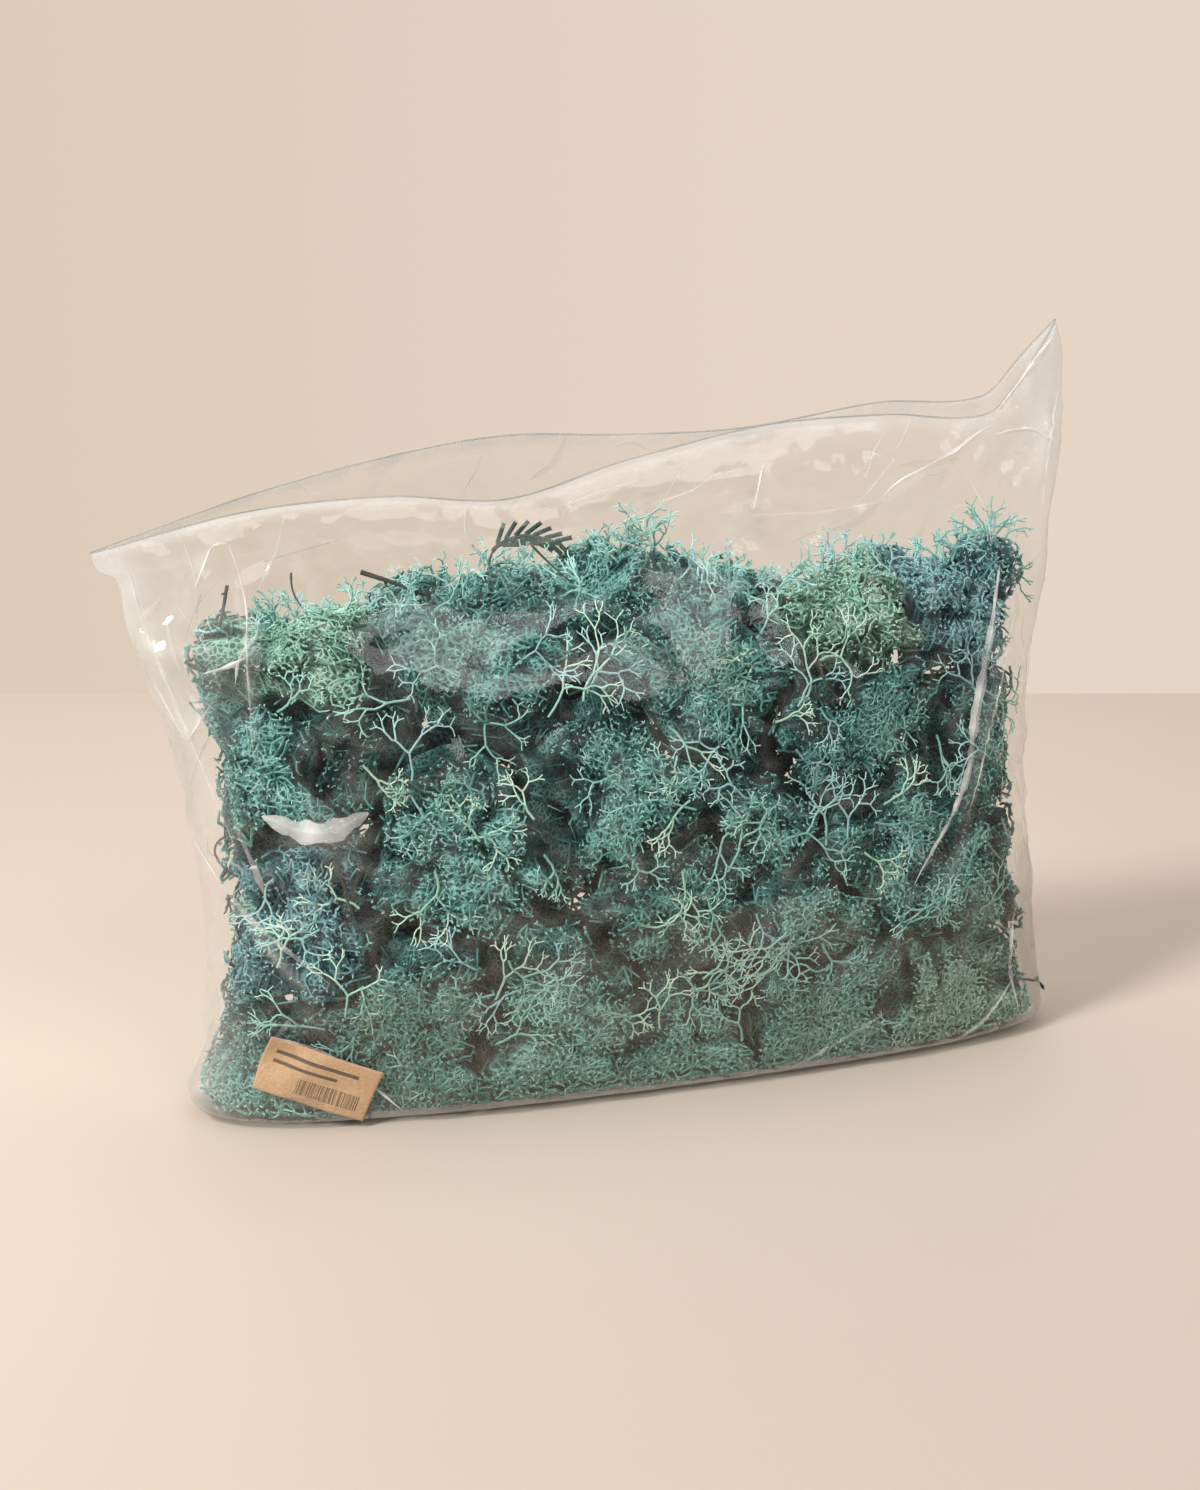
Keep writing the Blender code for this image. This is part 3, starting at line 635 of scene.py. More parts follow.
def film_material():
    """Clear film: see-through, glossy by its slant, cloudy white where it is folded, partly as painted
    highlights, and with a painted brown-grey reflection of the floor over its lower front.
    """
    made, tree = new_material("clear_film")
    place = object_place(tree)
    bump = tree.bump(tree.noise(place, 70.0, 3.0, 0.6), 0.30, 0.0012)
    clear = tree.add("ShaderNodeBsdfTransparent", {"Color": (0.985, 0.985, 0.98, 1.0)}).outputs[0]
    gloss = tree.add("ShaderNodeBsdfGlossy", {"Color": (1.0, 1.0, 1.0, 1.0), "Roughness": 0.05,
                                              "Normal": bump}).outputs[0]
    slant = tree.add("ShaderNodeLayerWeight", {"Blend": 0.5, "Normal": bump}).outputs["Facing"]
    mirrored = tree.math("MULTIPLY_ADD", tree.math("POWER", slant, 5.0), 0.60, 0.015)
    surface = tree.blend(mirrored, clear, gloss)
    # The white diffuse is the film's cloudiness together with painted highlights on its folds and left
    # strip.
    milk_and_highlight = tree.add("ShaderNodeBsdfDiffuse", {"Color": (0.93, 0.92, 0.91, 1.0)}).outputs[0]
    streaks = tree.range(tree.noise(place, 38.0, 4.0), 0.3, 0.8, 0.5, 1.2)
    milk_and_glint = tree.math("MULTIPLY", tree.attribute("haze_and_highlight"), streaks)
    surface = tree.blend(tree.math("MULTIPLY", milk_and_glint, MILK_AND_HIGHLIGHT_STRENGTH, clamp=True), surface, milk_and_highlight)
    # Brown-grey diffuse over the lower front: a painted reflection of the floor.
    floor_reflection_colour = tree.add("ShaderNodeBsdfDiffuse", {"Color": (0.26, 0.215, 0.175, 1.0)}).outputs[0]
    floor_reflected = tree.math("MULTIPLY", tree.attribute("floor_reflection"), FLOOR_REFLECTION_STRENGTH)
    end_surface(tree, tree.blend(floor_reflected, surface, floor_reflection_colour))
    return made


def bark_material():
    """Twigs: dark grey-green bark with long ridges and a few pale scars."""
    made, tree = new_material("twig_bark")
    place = object_place(tree)
    grain = tree.noise(place, 420.0, 4.0, 0.65)
    scars = tree.range(tree.noise(place, 160.0, 2.0), 0.62, 0.75)
    colour = tree.ramp(grain, ((0.25, (0.012, 0.016, 0.013)), (0.55, (0.050, 0.058, 0.046)),
                               (0.85, (0.120, 0.125, 0.095))))
    colour = tree.mix(scars, colour, (0.20, 0.19, 0.15, 1.0))
    rough = tree.range(grain, 0.2, 0.8, 0.7, 0.95)
    end_rough(tree, colour, rough, {"Normal": tree.bump(grain, 0.7, 0.0004)})
    return made


def needle_material():
    """The sprig's dark scale leaves, dulled by the dye."""
    made, tree = new_material("dyed_needles")
    place = object_place(tree)
    cells = tree.noise(place, 520.0, 3.0)
    colour = tree.ramp(cells, ((0.25, (0.008, 0.028, 0.022)), (0.55, (0.030, 0.085, 0.065)),
                               (0.85, (0.075, 0.165, 0.125))))
    end_rough(tree, colour, 0.6, {"Normal": tree.bump(cells, 0.5, 0.0003)})
    return made


def kraft_material():
    """Brown kraft paper with fibres, and a few plain printed bars with no meaning."""
    made, tree = new_material("kraft_paper")
    place = object_place(tree)
    stretched = tree.add("ShaderNodeMapping", {"Vector": place, "Scale": (1.0, 1.0, 3.0)}).outputs[0]
    fibres = tree.noise(stretched, 650.0, 5.0, 0.7)
    pulp = tree.noise(place, 60.0, 2.0)
    paper = tree.ramp(fibres, ((0.25, (0.300, 0.185, 0.098)), (0.55, (0.520, 0.340, 0.195)),
                               (0.85, (0.660, 0.465, 0.290))))
    paper = tree.mix(tree.range(pulp, 0.35, 0.7, 0.0, 0.35), paper, (0.60, 0.40, 0.235, 1.0))
    sheet = tree.add("ShaderNodeUVMap", uv_map="sheet").outputs[0]
    axes = tree.add("ShaderNodeSeparateXYZ", {0: sheet})
    across, up = axes.outputs[0], axes.outputs[1]
    stripes = tree.add("ShaderNodeTexNoise", {"W": tree.math("MULTIPLY", across, 95.0), "Scale": 1.0,
                                              "Detail": 0.0}, noise_dimensions="1D").outputs[0]
    inside = [tree.math("GREATER_THAN", across, 0.34), tree.math("LESS_THAN", across, 0.90),
              tree.math("GREATER_THAN", up, 0.14), tree.math("LESS_THAN", up, 0.42)]
    printed = tree.math("GREATER_THAN", stripes, 0.50)
    for limit in inside:
        printed = tree.math("MULTIPLY", printed, limit)
    for low, high, left, right in ((0.72, 0.79, 0.10, 0.82), (0.55, 0.61, 0.10, 0.66)):
        row = tree.math("MULTIPLY", tree.math("GREATER_THAN", up, low), tree.math("LESS_THAN", up, high))
        reach = tree.math("MULTIPLY", tree.math("GREATER_THAN", across, left),
                          tree.math("LESS_THAN", across, right))
        printed = tree.math("MAXIMUM", printed, tree.math("MULTIPLY", row, reach))
    ink = tree.math("MULTIPLY", printed, tree.range(fibres, 0.2, 0.7, 0.65, 0.95))
    colour = tree.mix(ink, paper, (0.055, 0.045, 0.040, 1.0))
    end_rough(tree, colour, 0.78, {"Normal": tree.bump(fibres, 0.35, 0.0002)})
    return made


def floor_material():
    """The pale floor: faintly mottled, with painted shade that darkens it towards the camera."""
    made, tree = new_material("pale_floor")
    place = object_place(tree)
    mottle = tree.noise(place, 3.0, 3.0)
    colour = tree.mix(mottle, (0.655, 0.555, 0.470, 1.0), (0.700, 0.605, 0.520, 1.0))
    # Painted shade: the floor is darker towards the camera.
    back = tree.range(tree.add("ShaderNodeSeparateXYZ", {0: place}).outputs[1], -0.60, 0.10)
    colour = tree.mix(back, (0.520, 0.445, 0.385, 1.0), colour)
    end_rough(tree, colour, 0.65)
    return made


def mesh_object(name, mesh):
    obj = bpy.data.objects.new(name, mesh)
    bpy.context.scene.collection.objects.link(obj)
    return obj


def skin_object(name, corners, faces, finish, turned=False, smooth=False):
    """An object made of faces, with its finish; turned so that its faces look outwards, or smooth."""
    mesh = bpy.data.meshes.new(name)
    mesh.from_pydata([tuple(corner) for corner in corners], [], faces)
    mesh.materials.append(finish)
    if turned:
        turned_out(mesh)
    if smooth:
        mesh.shade_smooth()
    return mesh_object(name, mesh)


def store(mesh, name, values, kind="FLOAT"):
    """Keeps one value for each point of a mesh."""
    layer = mesh.attributes.new(name, kind, "POINT")
    key = "vector" if kind == "FLOAT_VECTOR" else "value"
    layer.data.foreach_set(key, np.asarray(values, np.float32).ravel())


def declare(piece, slot, *nodes):
    """Hangs a finished piece on the root body and hides the solids it stands for; its slot, the finish, is
    not used.
    """
    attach(piece, "root")
    if nodes:
        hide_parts(*nodes)


# Film


def crease_depth(x, z):
    """How far the crease of the corner pocket sinks into the front at this place."""
    share, away = along_line(x, z, *CREASE_FROM, *CREASE_TO)
    return CREASE_DEPTH * math.exp(-((away / CREASE_WIDTH) ** 2)) * math.sin(math.pi * (0.15 + 0.7 * share))


def along_line(x, z, x0, z0, x1, z1):
    """Share of the way along a line that a place lies beside, and how far from the line it is."""
    dx, dz = x1 - x0, z1 - z0
    share = min(max(((x - x0) * dx + (z - z0) * dz) / (dx * dx + dz * dz), 0.0), 1.0)
    return share, math.hypot(x - x0 - dx * share, z - z0 - dz * share)


def film_row(height):
    """One loop of the film's outside, as the solid has it, and the way out at each of its points."""
    x_left, z_left, x_right, z_right, half_depth, boxy = smooth_row(BAG_LEVELS, height)
    lip = ease((height - LIP_STARTS) / (1 - LIP_STARTS)) ** 2
    standing = ease(height / WAVES_GROW)
    pressed = ease((1 - height) / WAVES_FADE)
    slack = ease((height - SLACK_STARTS) / (1 - SLACK_STARTS))
    points, ways = [], []
    for column in range(FILM_COLUMNS):
        angle, share, side, back_rise, front_rise = COLUMN_FACTS[column]
        fullness = abs(math.sin(angle)) ** boxy
        x = x_left + (x_right - x_left) * share
        line = z_left + (z_right - z_left) * share
        z = line + lip * (front_rise if side < 0 else back_rise)
        y = side * half_depth * fullness
        place = Vector((x, y, z)) / FILM_WAVE
        relief = FILM_RELIEF * standing * pressed * (noise.noise(place) + 0.5 * noise.noise(place * 2.3))
        if side < 0 and height > 0:
            relief -= crease_depth(x, z) * standing
        sway = SLACK_SWAY * slack * noise.noise(Vector((x * 14, 3.7, line * 9)))
        outward = Vector((-math.cos(angle) * 0.6, side * fullness, 0.0)).normalized()
        points.append(Vector((x, y + sway, z)) + outward * relief)
        ways.append(outward)
    return points, ways


def column_facts():
    """What each column of the film has at every height: its angle, share of the width, side and lip."""
    facts = []
    for column in range(FILM_COLUMNS):
        angle = 2 * math.pi * column / FILM_COLUMNS
        share = (1 - math.cos(angle)) / 2
        side = -1.0 if math.sin(angle) >= 0 else 1.0
        facts.append((angle, share, side, *smooth_row(LIP_RISE, share)))
    return facts


COLUMN_FACTS = column_facts()


def back_folds():
    """Folds of the back, drawn at random, mostly steep."""
    draw = random.Random(FOLD_SEED)
    found = []
    for _ in range(BACK_FOLDS):
        x, z = draw.uniform(*FOLD_X), draw.uniform(*FOLD_Z)
        turn = draw.gauss(math.pi / 2, 0.6)
        length = draw.uniform(*FOLD_LENGTHS)
        found.append((x, z, x + math.cos(turn) * length, z + math.sin(turn) * length,
                      draw.uniform(*FOLD_HEIGHTS), draw.uniform(*FOLD_WIDTHS)))
    return found


def crinkle(point, folds, height):
    """How far crinkles and folds lift the film here, and how cloudy white they leave it, partly as painted
    highlights.
    """
    above = ease((point.z - SLACK_FROM) / (SLACK_TO - SLACK_FROM))
    empty = max(above, ease((abs(point.x) - STRIP_FROM) / STRIP_WIDTH))
    lift = 0.0
    milk_and_glint = 0.0
    for size, tall in CRINKLE_SIZES:
        value = noise.noise(point / size + Vector((size * 400, 7.1, 2.2)))
        crest = 1 - min(abs(value) * 3.2, 1.0)
        lift += tall * (PRESSED_SHARE + (1 - PRESSED_SHARE) * empty) * crest
        milk_and_glint += 0.10 * crest**4
    for x0, z0, x1, z1, tall, width in folds:
        if abs(point.x - (x0 + x1) / 2) > 0.12 or abs(point.z - (z0 + z1) / 2) > 0.12:
            continue
        share, away = along_line(point.x, point.z, x0, z0, x1, z1)
        if away < width * 4:
            crest = math.exp(-away / width) * math.sin(math.pi * (0.12 + 0.76 * share))
            lift += tall * crest
            milk_and_glint += 0.45 * crest**2
    settled = ease(height / 0.05) * ease((1.02 - height) / 0.05)
    return lift * settled, milk_and_glint


def painted_floor_reflection(point, side):
    """One over the lower front, where a reflection of the floor is painted on the film, and nothing
    elsewhere.
    """
    if side > 0:
        return 0.0
    edge = np.interp(point.x, [row[0] for row in FLOOR_REFLECTION_EDGE], [row[1] for row in FLOOR_REFLECTION_EDGE])
    ragged = 0.004 * noise.noise(point * 60)
    return ease((edge + ragged - point.z) / FLOOR_REFLECTION_SOFTNESS)


def film_haze_and_highlight(point, height):
    """How cloudy white the film is apart from its folds: on its rim, ear, peak and side strips, and low
    down, with the left strip whiter as a painted highlight.
    """
    rim = RIM_HAZE * ease((height - RIM_FROM) / 0.02)
    ear = EAR_HAZE * ease((EAR_FROM[0] - point.x) / 0.02) * ease((point.z - EAR_FROM[1]) / 0.04)
    peak = PEAK_HAZE * ease((point.x - PEAK_FROM[0]) / 0.05) * ease((point.z - PEAK_FROM[1]) / 0.03)
    strip = LEFT_HAZE_AND_HIGHLIGHT if point.x < 0 else RIGHT_HAZE
    sides = strip * ease((abs(point.x - STRIP_MIDDLE) - STRIP_FROM) / STRIP_WIDTH)
    low = LOW_HAZE * ease((LOW_UNDER - point.z) / 0.012)
    return CLEAR_HAZE + max(rim, ear, peak) + sides + low


def film_outside():
    """The film's outside row by row, how cloudy white it is at each point, partly as painted highlights,
    and how much painted floor reflection it has.
    """
    front, back = FOLDS, back_folds()
    rows, haze_and_highlight, floor_reflection = [], [], []
    for i in range(FILM_ROWS):
        height = i / (FILM_ROWS - 1)
        points, ways = film_row(height)
        for column, (point, way) in enumerate(zip(points, ways)):
            side = COLUMN_FACTS[column][2]
            lift, milk_and_glint = crinkle(point, front if side < 0 else back, height)
            haze_and_highlight.append(film_haze_and_highlight(point, height) + milk_and_glint)
            floor_reflection.append(painted_floor_reflection(point, side))
            point += way * lift
        rows.append(points)
    outer = np.array([[tuple(point) for point in row] for row in rows])
    outer[0, :, 2] = 0.0
    return outer, haze_and_highlight, floor_reflection


def film_inside(outer):
    """The film's inside: one wall further in, or less where the front and the back nearly touch."""
    around = np.roll(outer, -1, axis=1) - np.roll(outer, 1, axis=1)
    up = np.gradient(outer, axis=0)
    normal = np.cross(around, up)
    normal /= np.maximum(np.linalg.norm(normal, axis=2, keepdims=True), 1e-9)
    opposite = np.roll(outer[:, ::-1], 1, axis=1)
    room = np.abs(outer[..., 1] - opposite[..., 1])[..., None]
    inner = outer - normal * np.minimum(FILM_WALL, np.maximum(room * WALL_SHARE, THINNEST_WALL))
    inner[0, :, 2] = FILM_WALL
    return inner


def film_faces():
    """Faces of the outside and the inside, the mouth's edge between them, and both base fans."""
    total = FILM_ROWS * FILM_COLUMNS
    faces = []
    for i in range(FILM_ROWS - 1):
        for k in range(FILM_COLUMNS):
            a, b = i * FILM_COLUMNS + k, i * FILM_COLUMNS + (k + 1) % FILM_COLUMNS
            c, d = b + FILM_COLUMNS, a + FILM_COLUMNS
            faces.append((a, b, c, d))
            faces.append((total + d, total + c, total + b, total + a))
    top = (FILM_ROWS - 1) * FILM_COLUMNS
    for k in range(FILM_COLUMNS):
        j = (k + 1) % FILM_COLUMNS
        faces.append((top + k, top + j, total + top + j, total + top + k))
        faces.append((j, k, 2 * total))
        faces.append((total + k, total + j, 2 * total + 1))
    return faces


def make_film(finish):
    """The film as one thin closed skin, from its base to its open mouth."""
    outer, haze_and_highlight, floor_reflection = film_outside()
    inner = film_inside(outer)
    base_middles = [[*outer[0].mean(axis=0)[:2], 0.0], [*inner[0].mean(axis=0)[:2], FILM_WALL]]
    corners = np.concatenate([outer.reshape(-1, 3), inner.reshape(-1, 3), base_middles])
    piece = skin_object("film_clear", corners.tolist(), film_faces(), finish, smooth=True)
    store(piece.data, "haze_and_highlight", [*haze_and_highlight, *haze_and_highlight, BASE_HAZE, BASE_HAZE])
    # Painted floor reflection: only on the outside, none on the inside or the base.
    store(piece.data, "floor_reflection", [*floor_reflection, *[0.0] * (len(corners) - len(floor_reflection))])
    declare(piece, "film", "film_bag")
    return piece


def small_pleat(draw, k):
    """One of the many small pleats: its points, width, height, how milky it is, and its side."""
    side = -1 if k % 5 < 3 else 1
    if draw.random() < STRIP_PLEATS:
        x = draw.choice((draw.uniform(*LEFT_PLEATS_X), draw.uniform(*RIGHT_PLEATS_X)))
        z = draw.uniform(*STRIP_PLEATS_Z)
    else:
        x, z = draw.uniform(*TOP_PLEATS_X), draw.uniform(*TOP_PLEATS_Z)
    turn = draw.gauss(math.pi / 2 if z < TOP_PLEATS_Z[0] else math.pi / 5, 0.45)
    length = draw.uniform(*PLEAT_LENGTHS)
    bend = draw.uniform(*PLEAT_BENDS)
    way_x, way_z = math.cos(turn), math.sin(turn)
    points = ((x, z),
              (x + way_x * length / 2 - way_z * bend, z + way_z * length / 2 + way_x * bend),
              (x + way_x * length, z + way_z * length))
    if k % 6 == 0:
        return points, draw.uniform(0.004, 0.007), 0.0009, draw.uniform(0.15, 0.40), side
    return points, draw.uniform(0.0008, 0.0020), draw.uniform(0.0003, 0.0008), draw.uniform(0.3, 1.2), side


def pleat_lines():
    """The film's sharp pleats: named ones as on the bag, and many small ones drawn at random."""
    draw = random.Random(PLEAT_SEED)
    small = [small_pleat(draw, k) for k in range(SMALL_PLEATS)]
    return [(*pleat, -1) for pleat in PLEATS] + small


def bent_line(points, count):
    """Places along a smooth curve through some points."""
    rows = [(i / (len(points) - 1), *point) for i, point in enumerate(points)]
    return [smooth_row(rows, k / (count - 1)) for k in range(count)]


def pleat_spots(skin, points, side):
    """Places and outward ways along a pleat on the film, as far as the film goes on unbroken."""
    length = sum(math.dist(a, b) for a, b in zip(points, points[1:]))
    spots = []
    for x, z in bent_line(points, max(6, int(length / PLEAT_STEP))):
        hit = skin.ray_cast(Vector((x, side * 0.3, z)), Vector((0, -side, 0)))
        if hit[0] is None or spots and (hit[0] - spots[-1][0]).length > PLEAT_JUMP:
            break
        normal = hit[1] if hit[1].y * side > 0 else -hit[1]
        spots.append((hit[0] + normal * PLEAT_LIFT, normal))
    return spots


def add_pleat(corners, faces, haze_and_highlight, spots, width, tall, milk_and_highlight):
    """Adds one slim three-sided strip with pointed ends."""
    first = len(corners)
    for k, (spot, normal) in enumerate(spots):
        along = (spots[min(k + 1, len(spots) - 1)][0] - spots[max(k - 1, 0)][0]).normalized()
        aside = along.cross(normal).normalized()
        uneven = 0.75 + 0.6 * noise.noise(spot * 160)
        slim = math.sin(math.pi * (k + 0.25) / (len(spots) - 0.5)) ** 0.7 * uneven
        half = aside * width / 2 * slim
        corners += [spot + half, spot + normal * tall * slim, spot - half]
        # Whiteness along the pleat, partly painted highlight.
        patchy = milk_and_highlight * max(0.2, 0.9 + 1.1 * noise.noise(spot * 110 + Vector((5, 1, 9))))
        haze_and_highlight += [patchy * 0.6, patchy, patchy * 0.6]
        if k:
            low = first + 3 * k - 3
            for a in range(3):
                b = (a + 1) % 3
                faces.append((low + a, low + b, low + 3 + b, low + 3 + a))
    last = len(corners) - 3
    faces.append((first + 2, first + 1, first))
    faces.append((last, last + 1, last + 2))


def make_pleats(film, finish):
    """Narrow raised pleats on the film."""
    skin = mesh_skin(film.data)
    corners, faces, haze_and_highlight = [], [], []
    for points, width, tall, milk_and_highlight, side in pleat_lines():
        spots = pleat_spots(skin, points, side)
        if len(spots) >= FEWEST_SPOTS:
            add_pleat(corners, faces, haze_and_highlight, spots, width, tall, milk_and_highlight)
    piece = skin_object("film_pleats", corners, faces, finish, turned=True)
    store(piece.data, "haze_and_highlight", haze_and_highlight)
    store(piece.data, "floor_reflection", [0.0] * len(corners))
    declare(piece, "film")


def edge_material():
    """The film's thick cut lip, seen edge on: half clear, with grey-blue painted shade along its line."""
    made, tree = new_material("film_lip")
    clear = tree.add("ShaderNodeBsdfTransparent", {"Color": (0.93, 0.95, 0.95, 1.0)}).outputs[0]
    # The grey diffuse is the painted shade of the film's edge.
    grey = tree.add("ShaderNodeBsdfDiffuse", {"Color": (0.36, 0.40, 0.40, 1.0)}).outputs[0]
    gloss = tree.add("ShaderNodeBsdfGlossy", {"Roughness": 0.12}).outputs[0]
    slant = tree.add("ShaderNodeLayerWeight", {"Blend": 0.35}).outputs["Facing"]
    share = tree.range(tree.noise(object_place(tree), 22.0, 2.0), 0.3, 0.7, 0.10, 0.42)
    tinted = tree.blend(share, clear, grey)
    end_surface(tree, tree.blend(tree.math("MULTIPLY", slant, 0.12), tinted, gloss))
    return made


def make_lip(film, finish):
    """A fine round edge along the film's open mouth."""
    first = (FILM_ROWS - 1) * FILM_COLUMNS
    ring = [film.data.vertices[first + k].co for k in range(FILM_COLUMNS)]
    corners, faces = [], []
    for k, point in enumerate(ring):
        along = (ring[(k + 1) % FILM_COLUMNS] - ring[k - 1]).normalized()
        aside = along.cross(Vector((0, 0, 1))).normalized()
        up = aside.cross(along)
        thin = LIP_RADIUS * (0.7 + 0.6 * abs(noise.noise(point * 45)))
        for turn in range(LIP_SIDES):
            angle = 2 * math.pi * turn / LIP_SIDES
            corners.append(point + (aside * math.cos(angle) + up * math.sin(angle)) * thin)
        low, high = k * LIP_SIDES, (k + 1) % FILM_COLUMNS * LIP_SIDES
        for a in range(LIP_SIDES):
            b = (a + 1) % LIP_SIDES
            faces.append((low + a, low + b, high + b, high + a))
    declare(skin_object("film_lips", corners, faces, finish, turned=True, smooth=True), "film")


def mesh_skin(mesh):
    """A mesh's faces, for rays."""
    corners = [vert.co for vert in mesh.vertices]
    return BVHTree.FromPolygons(corners, [face.vertices for face in mesh.polygons])


def turned_out(mesh):
    """Turns a closed mesh's faces outwards."""
    edited = bmesh.new()
    edited.from_mesh(mesh)
    bmesh.ops.recalc_face_normals(edited, faces=edited.faces[:])
    edited.to_mesh(mesh)
    edited.free()


# Lichen


def named(t, name, kind="FLOAT"):
    return t.add("GeometryNodeInputNamedAttribute", {0: name}, data_type=kind).outputs[0]


def kept_as(t, geometry, name, value, kind="FLOAT", domain="POINT", where=True):
    """The geometry with a value stored on it under a name."""
    return t.add("GeometryNodeStoreNamedAttribute", {0: geometry, 1: where, "Name": name, "Value": value},
                 data_type=kind, domain=domain).outputs[0]


def new_group(name, sockets):
    """An empty geometry tree with named inputs: its tree, and the sockets it is given."""
    group = bpy.data.node_groups.new(name, "GeometryNodeTree")
    face = group.interface
    face.new_socket("Geometry", in_out="OUTPUT", socket_type="NodeSocketGeometry")
    face.new_socket("Geometry", in_out="INPUT", socket_type="NodeSocketGeometry")
    for label, kind, value in sockets:
        socket = face.new_socket(label, in_out="INPUT", socket_type=kind)
        if value is not None:
            socket.default_value = value
    t = Tree(group)
    return t, t.add("NodeGroupInput").outputs


def finish_group(t, geometry, finish):
    """Ends a tree: plain smooth mesh with its finish."""
    whole = t.add("GeometryNodeRealizeInstances", {0: geometry}).outputs[0]
    smooth = t.add("GeometryNodeSetShadeSmooth", {0: whole}).outputs[0]
    dyed = t.add("GeometryNodeSetMaterial", {0: smooth, "Material": finish}).outputs[0]
    t.add("NodeGroupOutput", {0: dyed})
    return t.tree


def marked_paths(t, given):
    """The skin with the branching paths from its roots marked, and how far along them points are."""
    ends = t.add("GeometryNodeInputMeshEdgeVertices").outputs
    length = t.add("ShaderNodeVectorMath", {0: ends[2], 1: ends[3]}, operation="DISTANCE").outputs["Value"]
    whim = t.add("FunctionNodeRandomValue", {"Seed": given["Seed"]}, data_type="FLOAT")
    whim.inputs[2].default_value, whim.inputs[3].default_value = PATH_WHIM
    paths = t.add("GeometryNodeInputShortestEdgePaths",
                  {0: t.math("GREATER_THAN", named(t, "root"), 0.5),
                   1: t.math("MULTIPLY", length, whim.outputs[1])}).outputs
    kept = t.add("GeometryNodeEdgePathsToSelection", {0: True, 1: paths[0]}).outputs[0]
    reached = kept_as(t, given["Geometry"], "reach", paths[1])
    return kept_as(t, reached, "kept", kept, "BOOLEAN", "EDGE")


def sunk_core(t, given, out_way):
    """The same skin sunk inwards, painted dark as the shade inside the head."""
    inwards = t.math("MULTIPLY", given["Core Depth"], -1.0)
    sunk = t.add("ShaderNodeVectorMath", {0: out_way, "Scale": inwards}, operation="SCALE").outputs[0]
    core = t.add("GeometryNodeSetPosition", {0: given["Geometry"], "Offset": sunk}).outputs[0]
    core = kept_as(t, core, "tone_and_shade", t.range(named(t, "high"), 0.0, 0.8, *CORE_PAINTED_SHADE_TONES))
    return kept_as(t, core, "core", 1.0)


def toned_net(t, given, skin):
    """The marked paths alone, paler towards their ends and painted darker as shade low in the head, with
    their thickness and which ends are to fork.
    """
    dropped = t.add("FunctionNodeBooleanMath", {0: named(t, "kept", "BOOLEAN")}, operation="NOT").outputs[0]
    net = t.add("GeometryNodeDeleteGeometry", {0: skin, 1: dropped}, domain="EDGE",
                mode="EDGE_FACE").outputs[0]
    count = t.add("GeometryNodeInputMeshVertexNeighbors").outputs[0]
    sprout = t.add("FunctionNodeRandomValue", {"Seed": t.math("ADD", given["Seed"], SPROUT_SEED)},
                   data_type="FLOAT")
    sprouting = t.math("LESS_THAN", sprout.outputs[1], SPROUT_SHARE)
    forking = t.math("MAXIMUM", t.math("LESS_THAN", count, 1.5), sprouting)
    net = kept_as(t, net, "free_end", t.math("MULTIPLY", forking, named(t, "seen")))
    reach = named(t, "reach")
    along = t.range(reach, 0.0, 0.010, *STRAND_TONES)
    # Paler towards the outside of the head: painted light and shade by depth.
    net = kept_as(t, net, "tone_and_shade", t.math("ADD", along, t.range(named(t, "high"), 0.0, 0.9, 0.0, OUTER_PAINTED_LIGHT)))
    radius = t.add("ShaderNodeMix", {0: t.range(reach, 0.0, 0.009, 0.0, 1.0), 2: given["Root Radius"],
                                     3: given["Strand Radius"]}, data_type="FLOAT").outputs[0]
    return kept_as(t, net, "width", radius)


def forked(t, given, net, out_way, seed):
    """The net with one more short tine at every end that forks."""
    aside = t.add("FunctionNodeRandomValue", {"Seed": t.math("ADD", given["Seed"], seed)},
                  data_type="FLOAT_VECTOR")
    aside.inputs[0].default_value = (-1.0, -1.0, -1.0)
    aside.inputs[1].default_value = (1.0, 1.0, 1.0)
    leaning = t.add("ShaderNodeVectorMath", {0: aside.outputs[0], "Scale": given["Wander"]},
                    operation="SCALE").outputs[0]
    way = t.add("ShaderNodeVectorMath", {0: out_way, 1: leaning}, operation="ADD").outputs[0]
    way = t.add("ShaderNodeVectorMath", {0: way}, operation="NORMALIZE").outputs[0]
    free = t.math("GREATER_THAN", named(t, "free_end"), 0.5)
    tines = t.add("GeometryNodeExtrudeMesh", {"Mesh": net, "Selection": free, "Offset": way,
                                              "Offset Scale": given["Tip Length"]}, mode="VERTICES")
    net = tines.outputs[0]
    for name, value in (("tone_and_shade", 1.0), ("width", TINE_RADIUS), ("free_end", 0.0)):
        net = kept_as(t, net, name, value, where=tines.outputs[1])
    return net


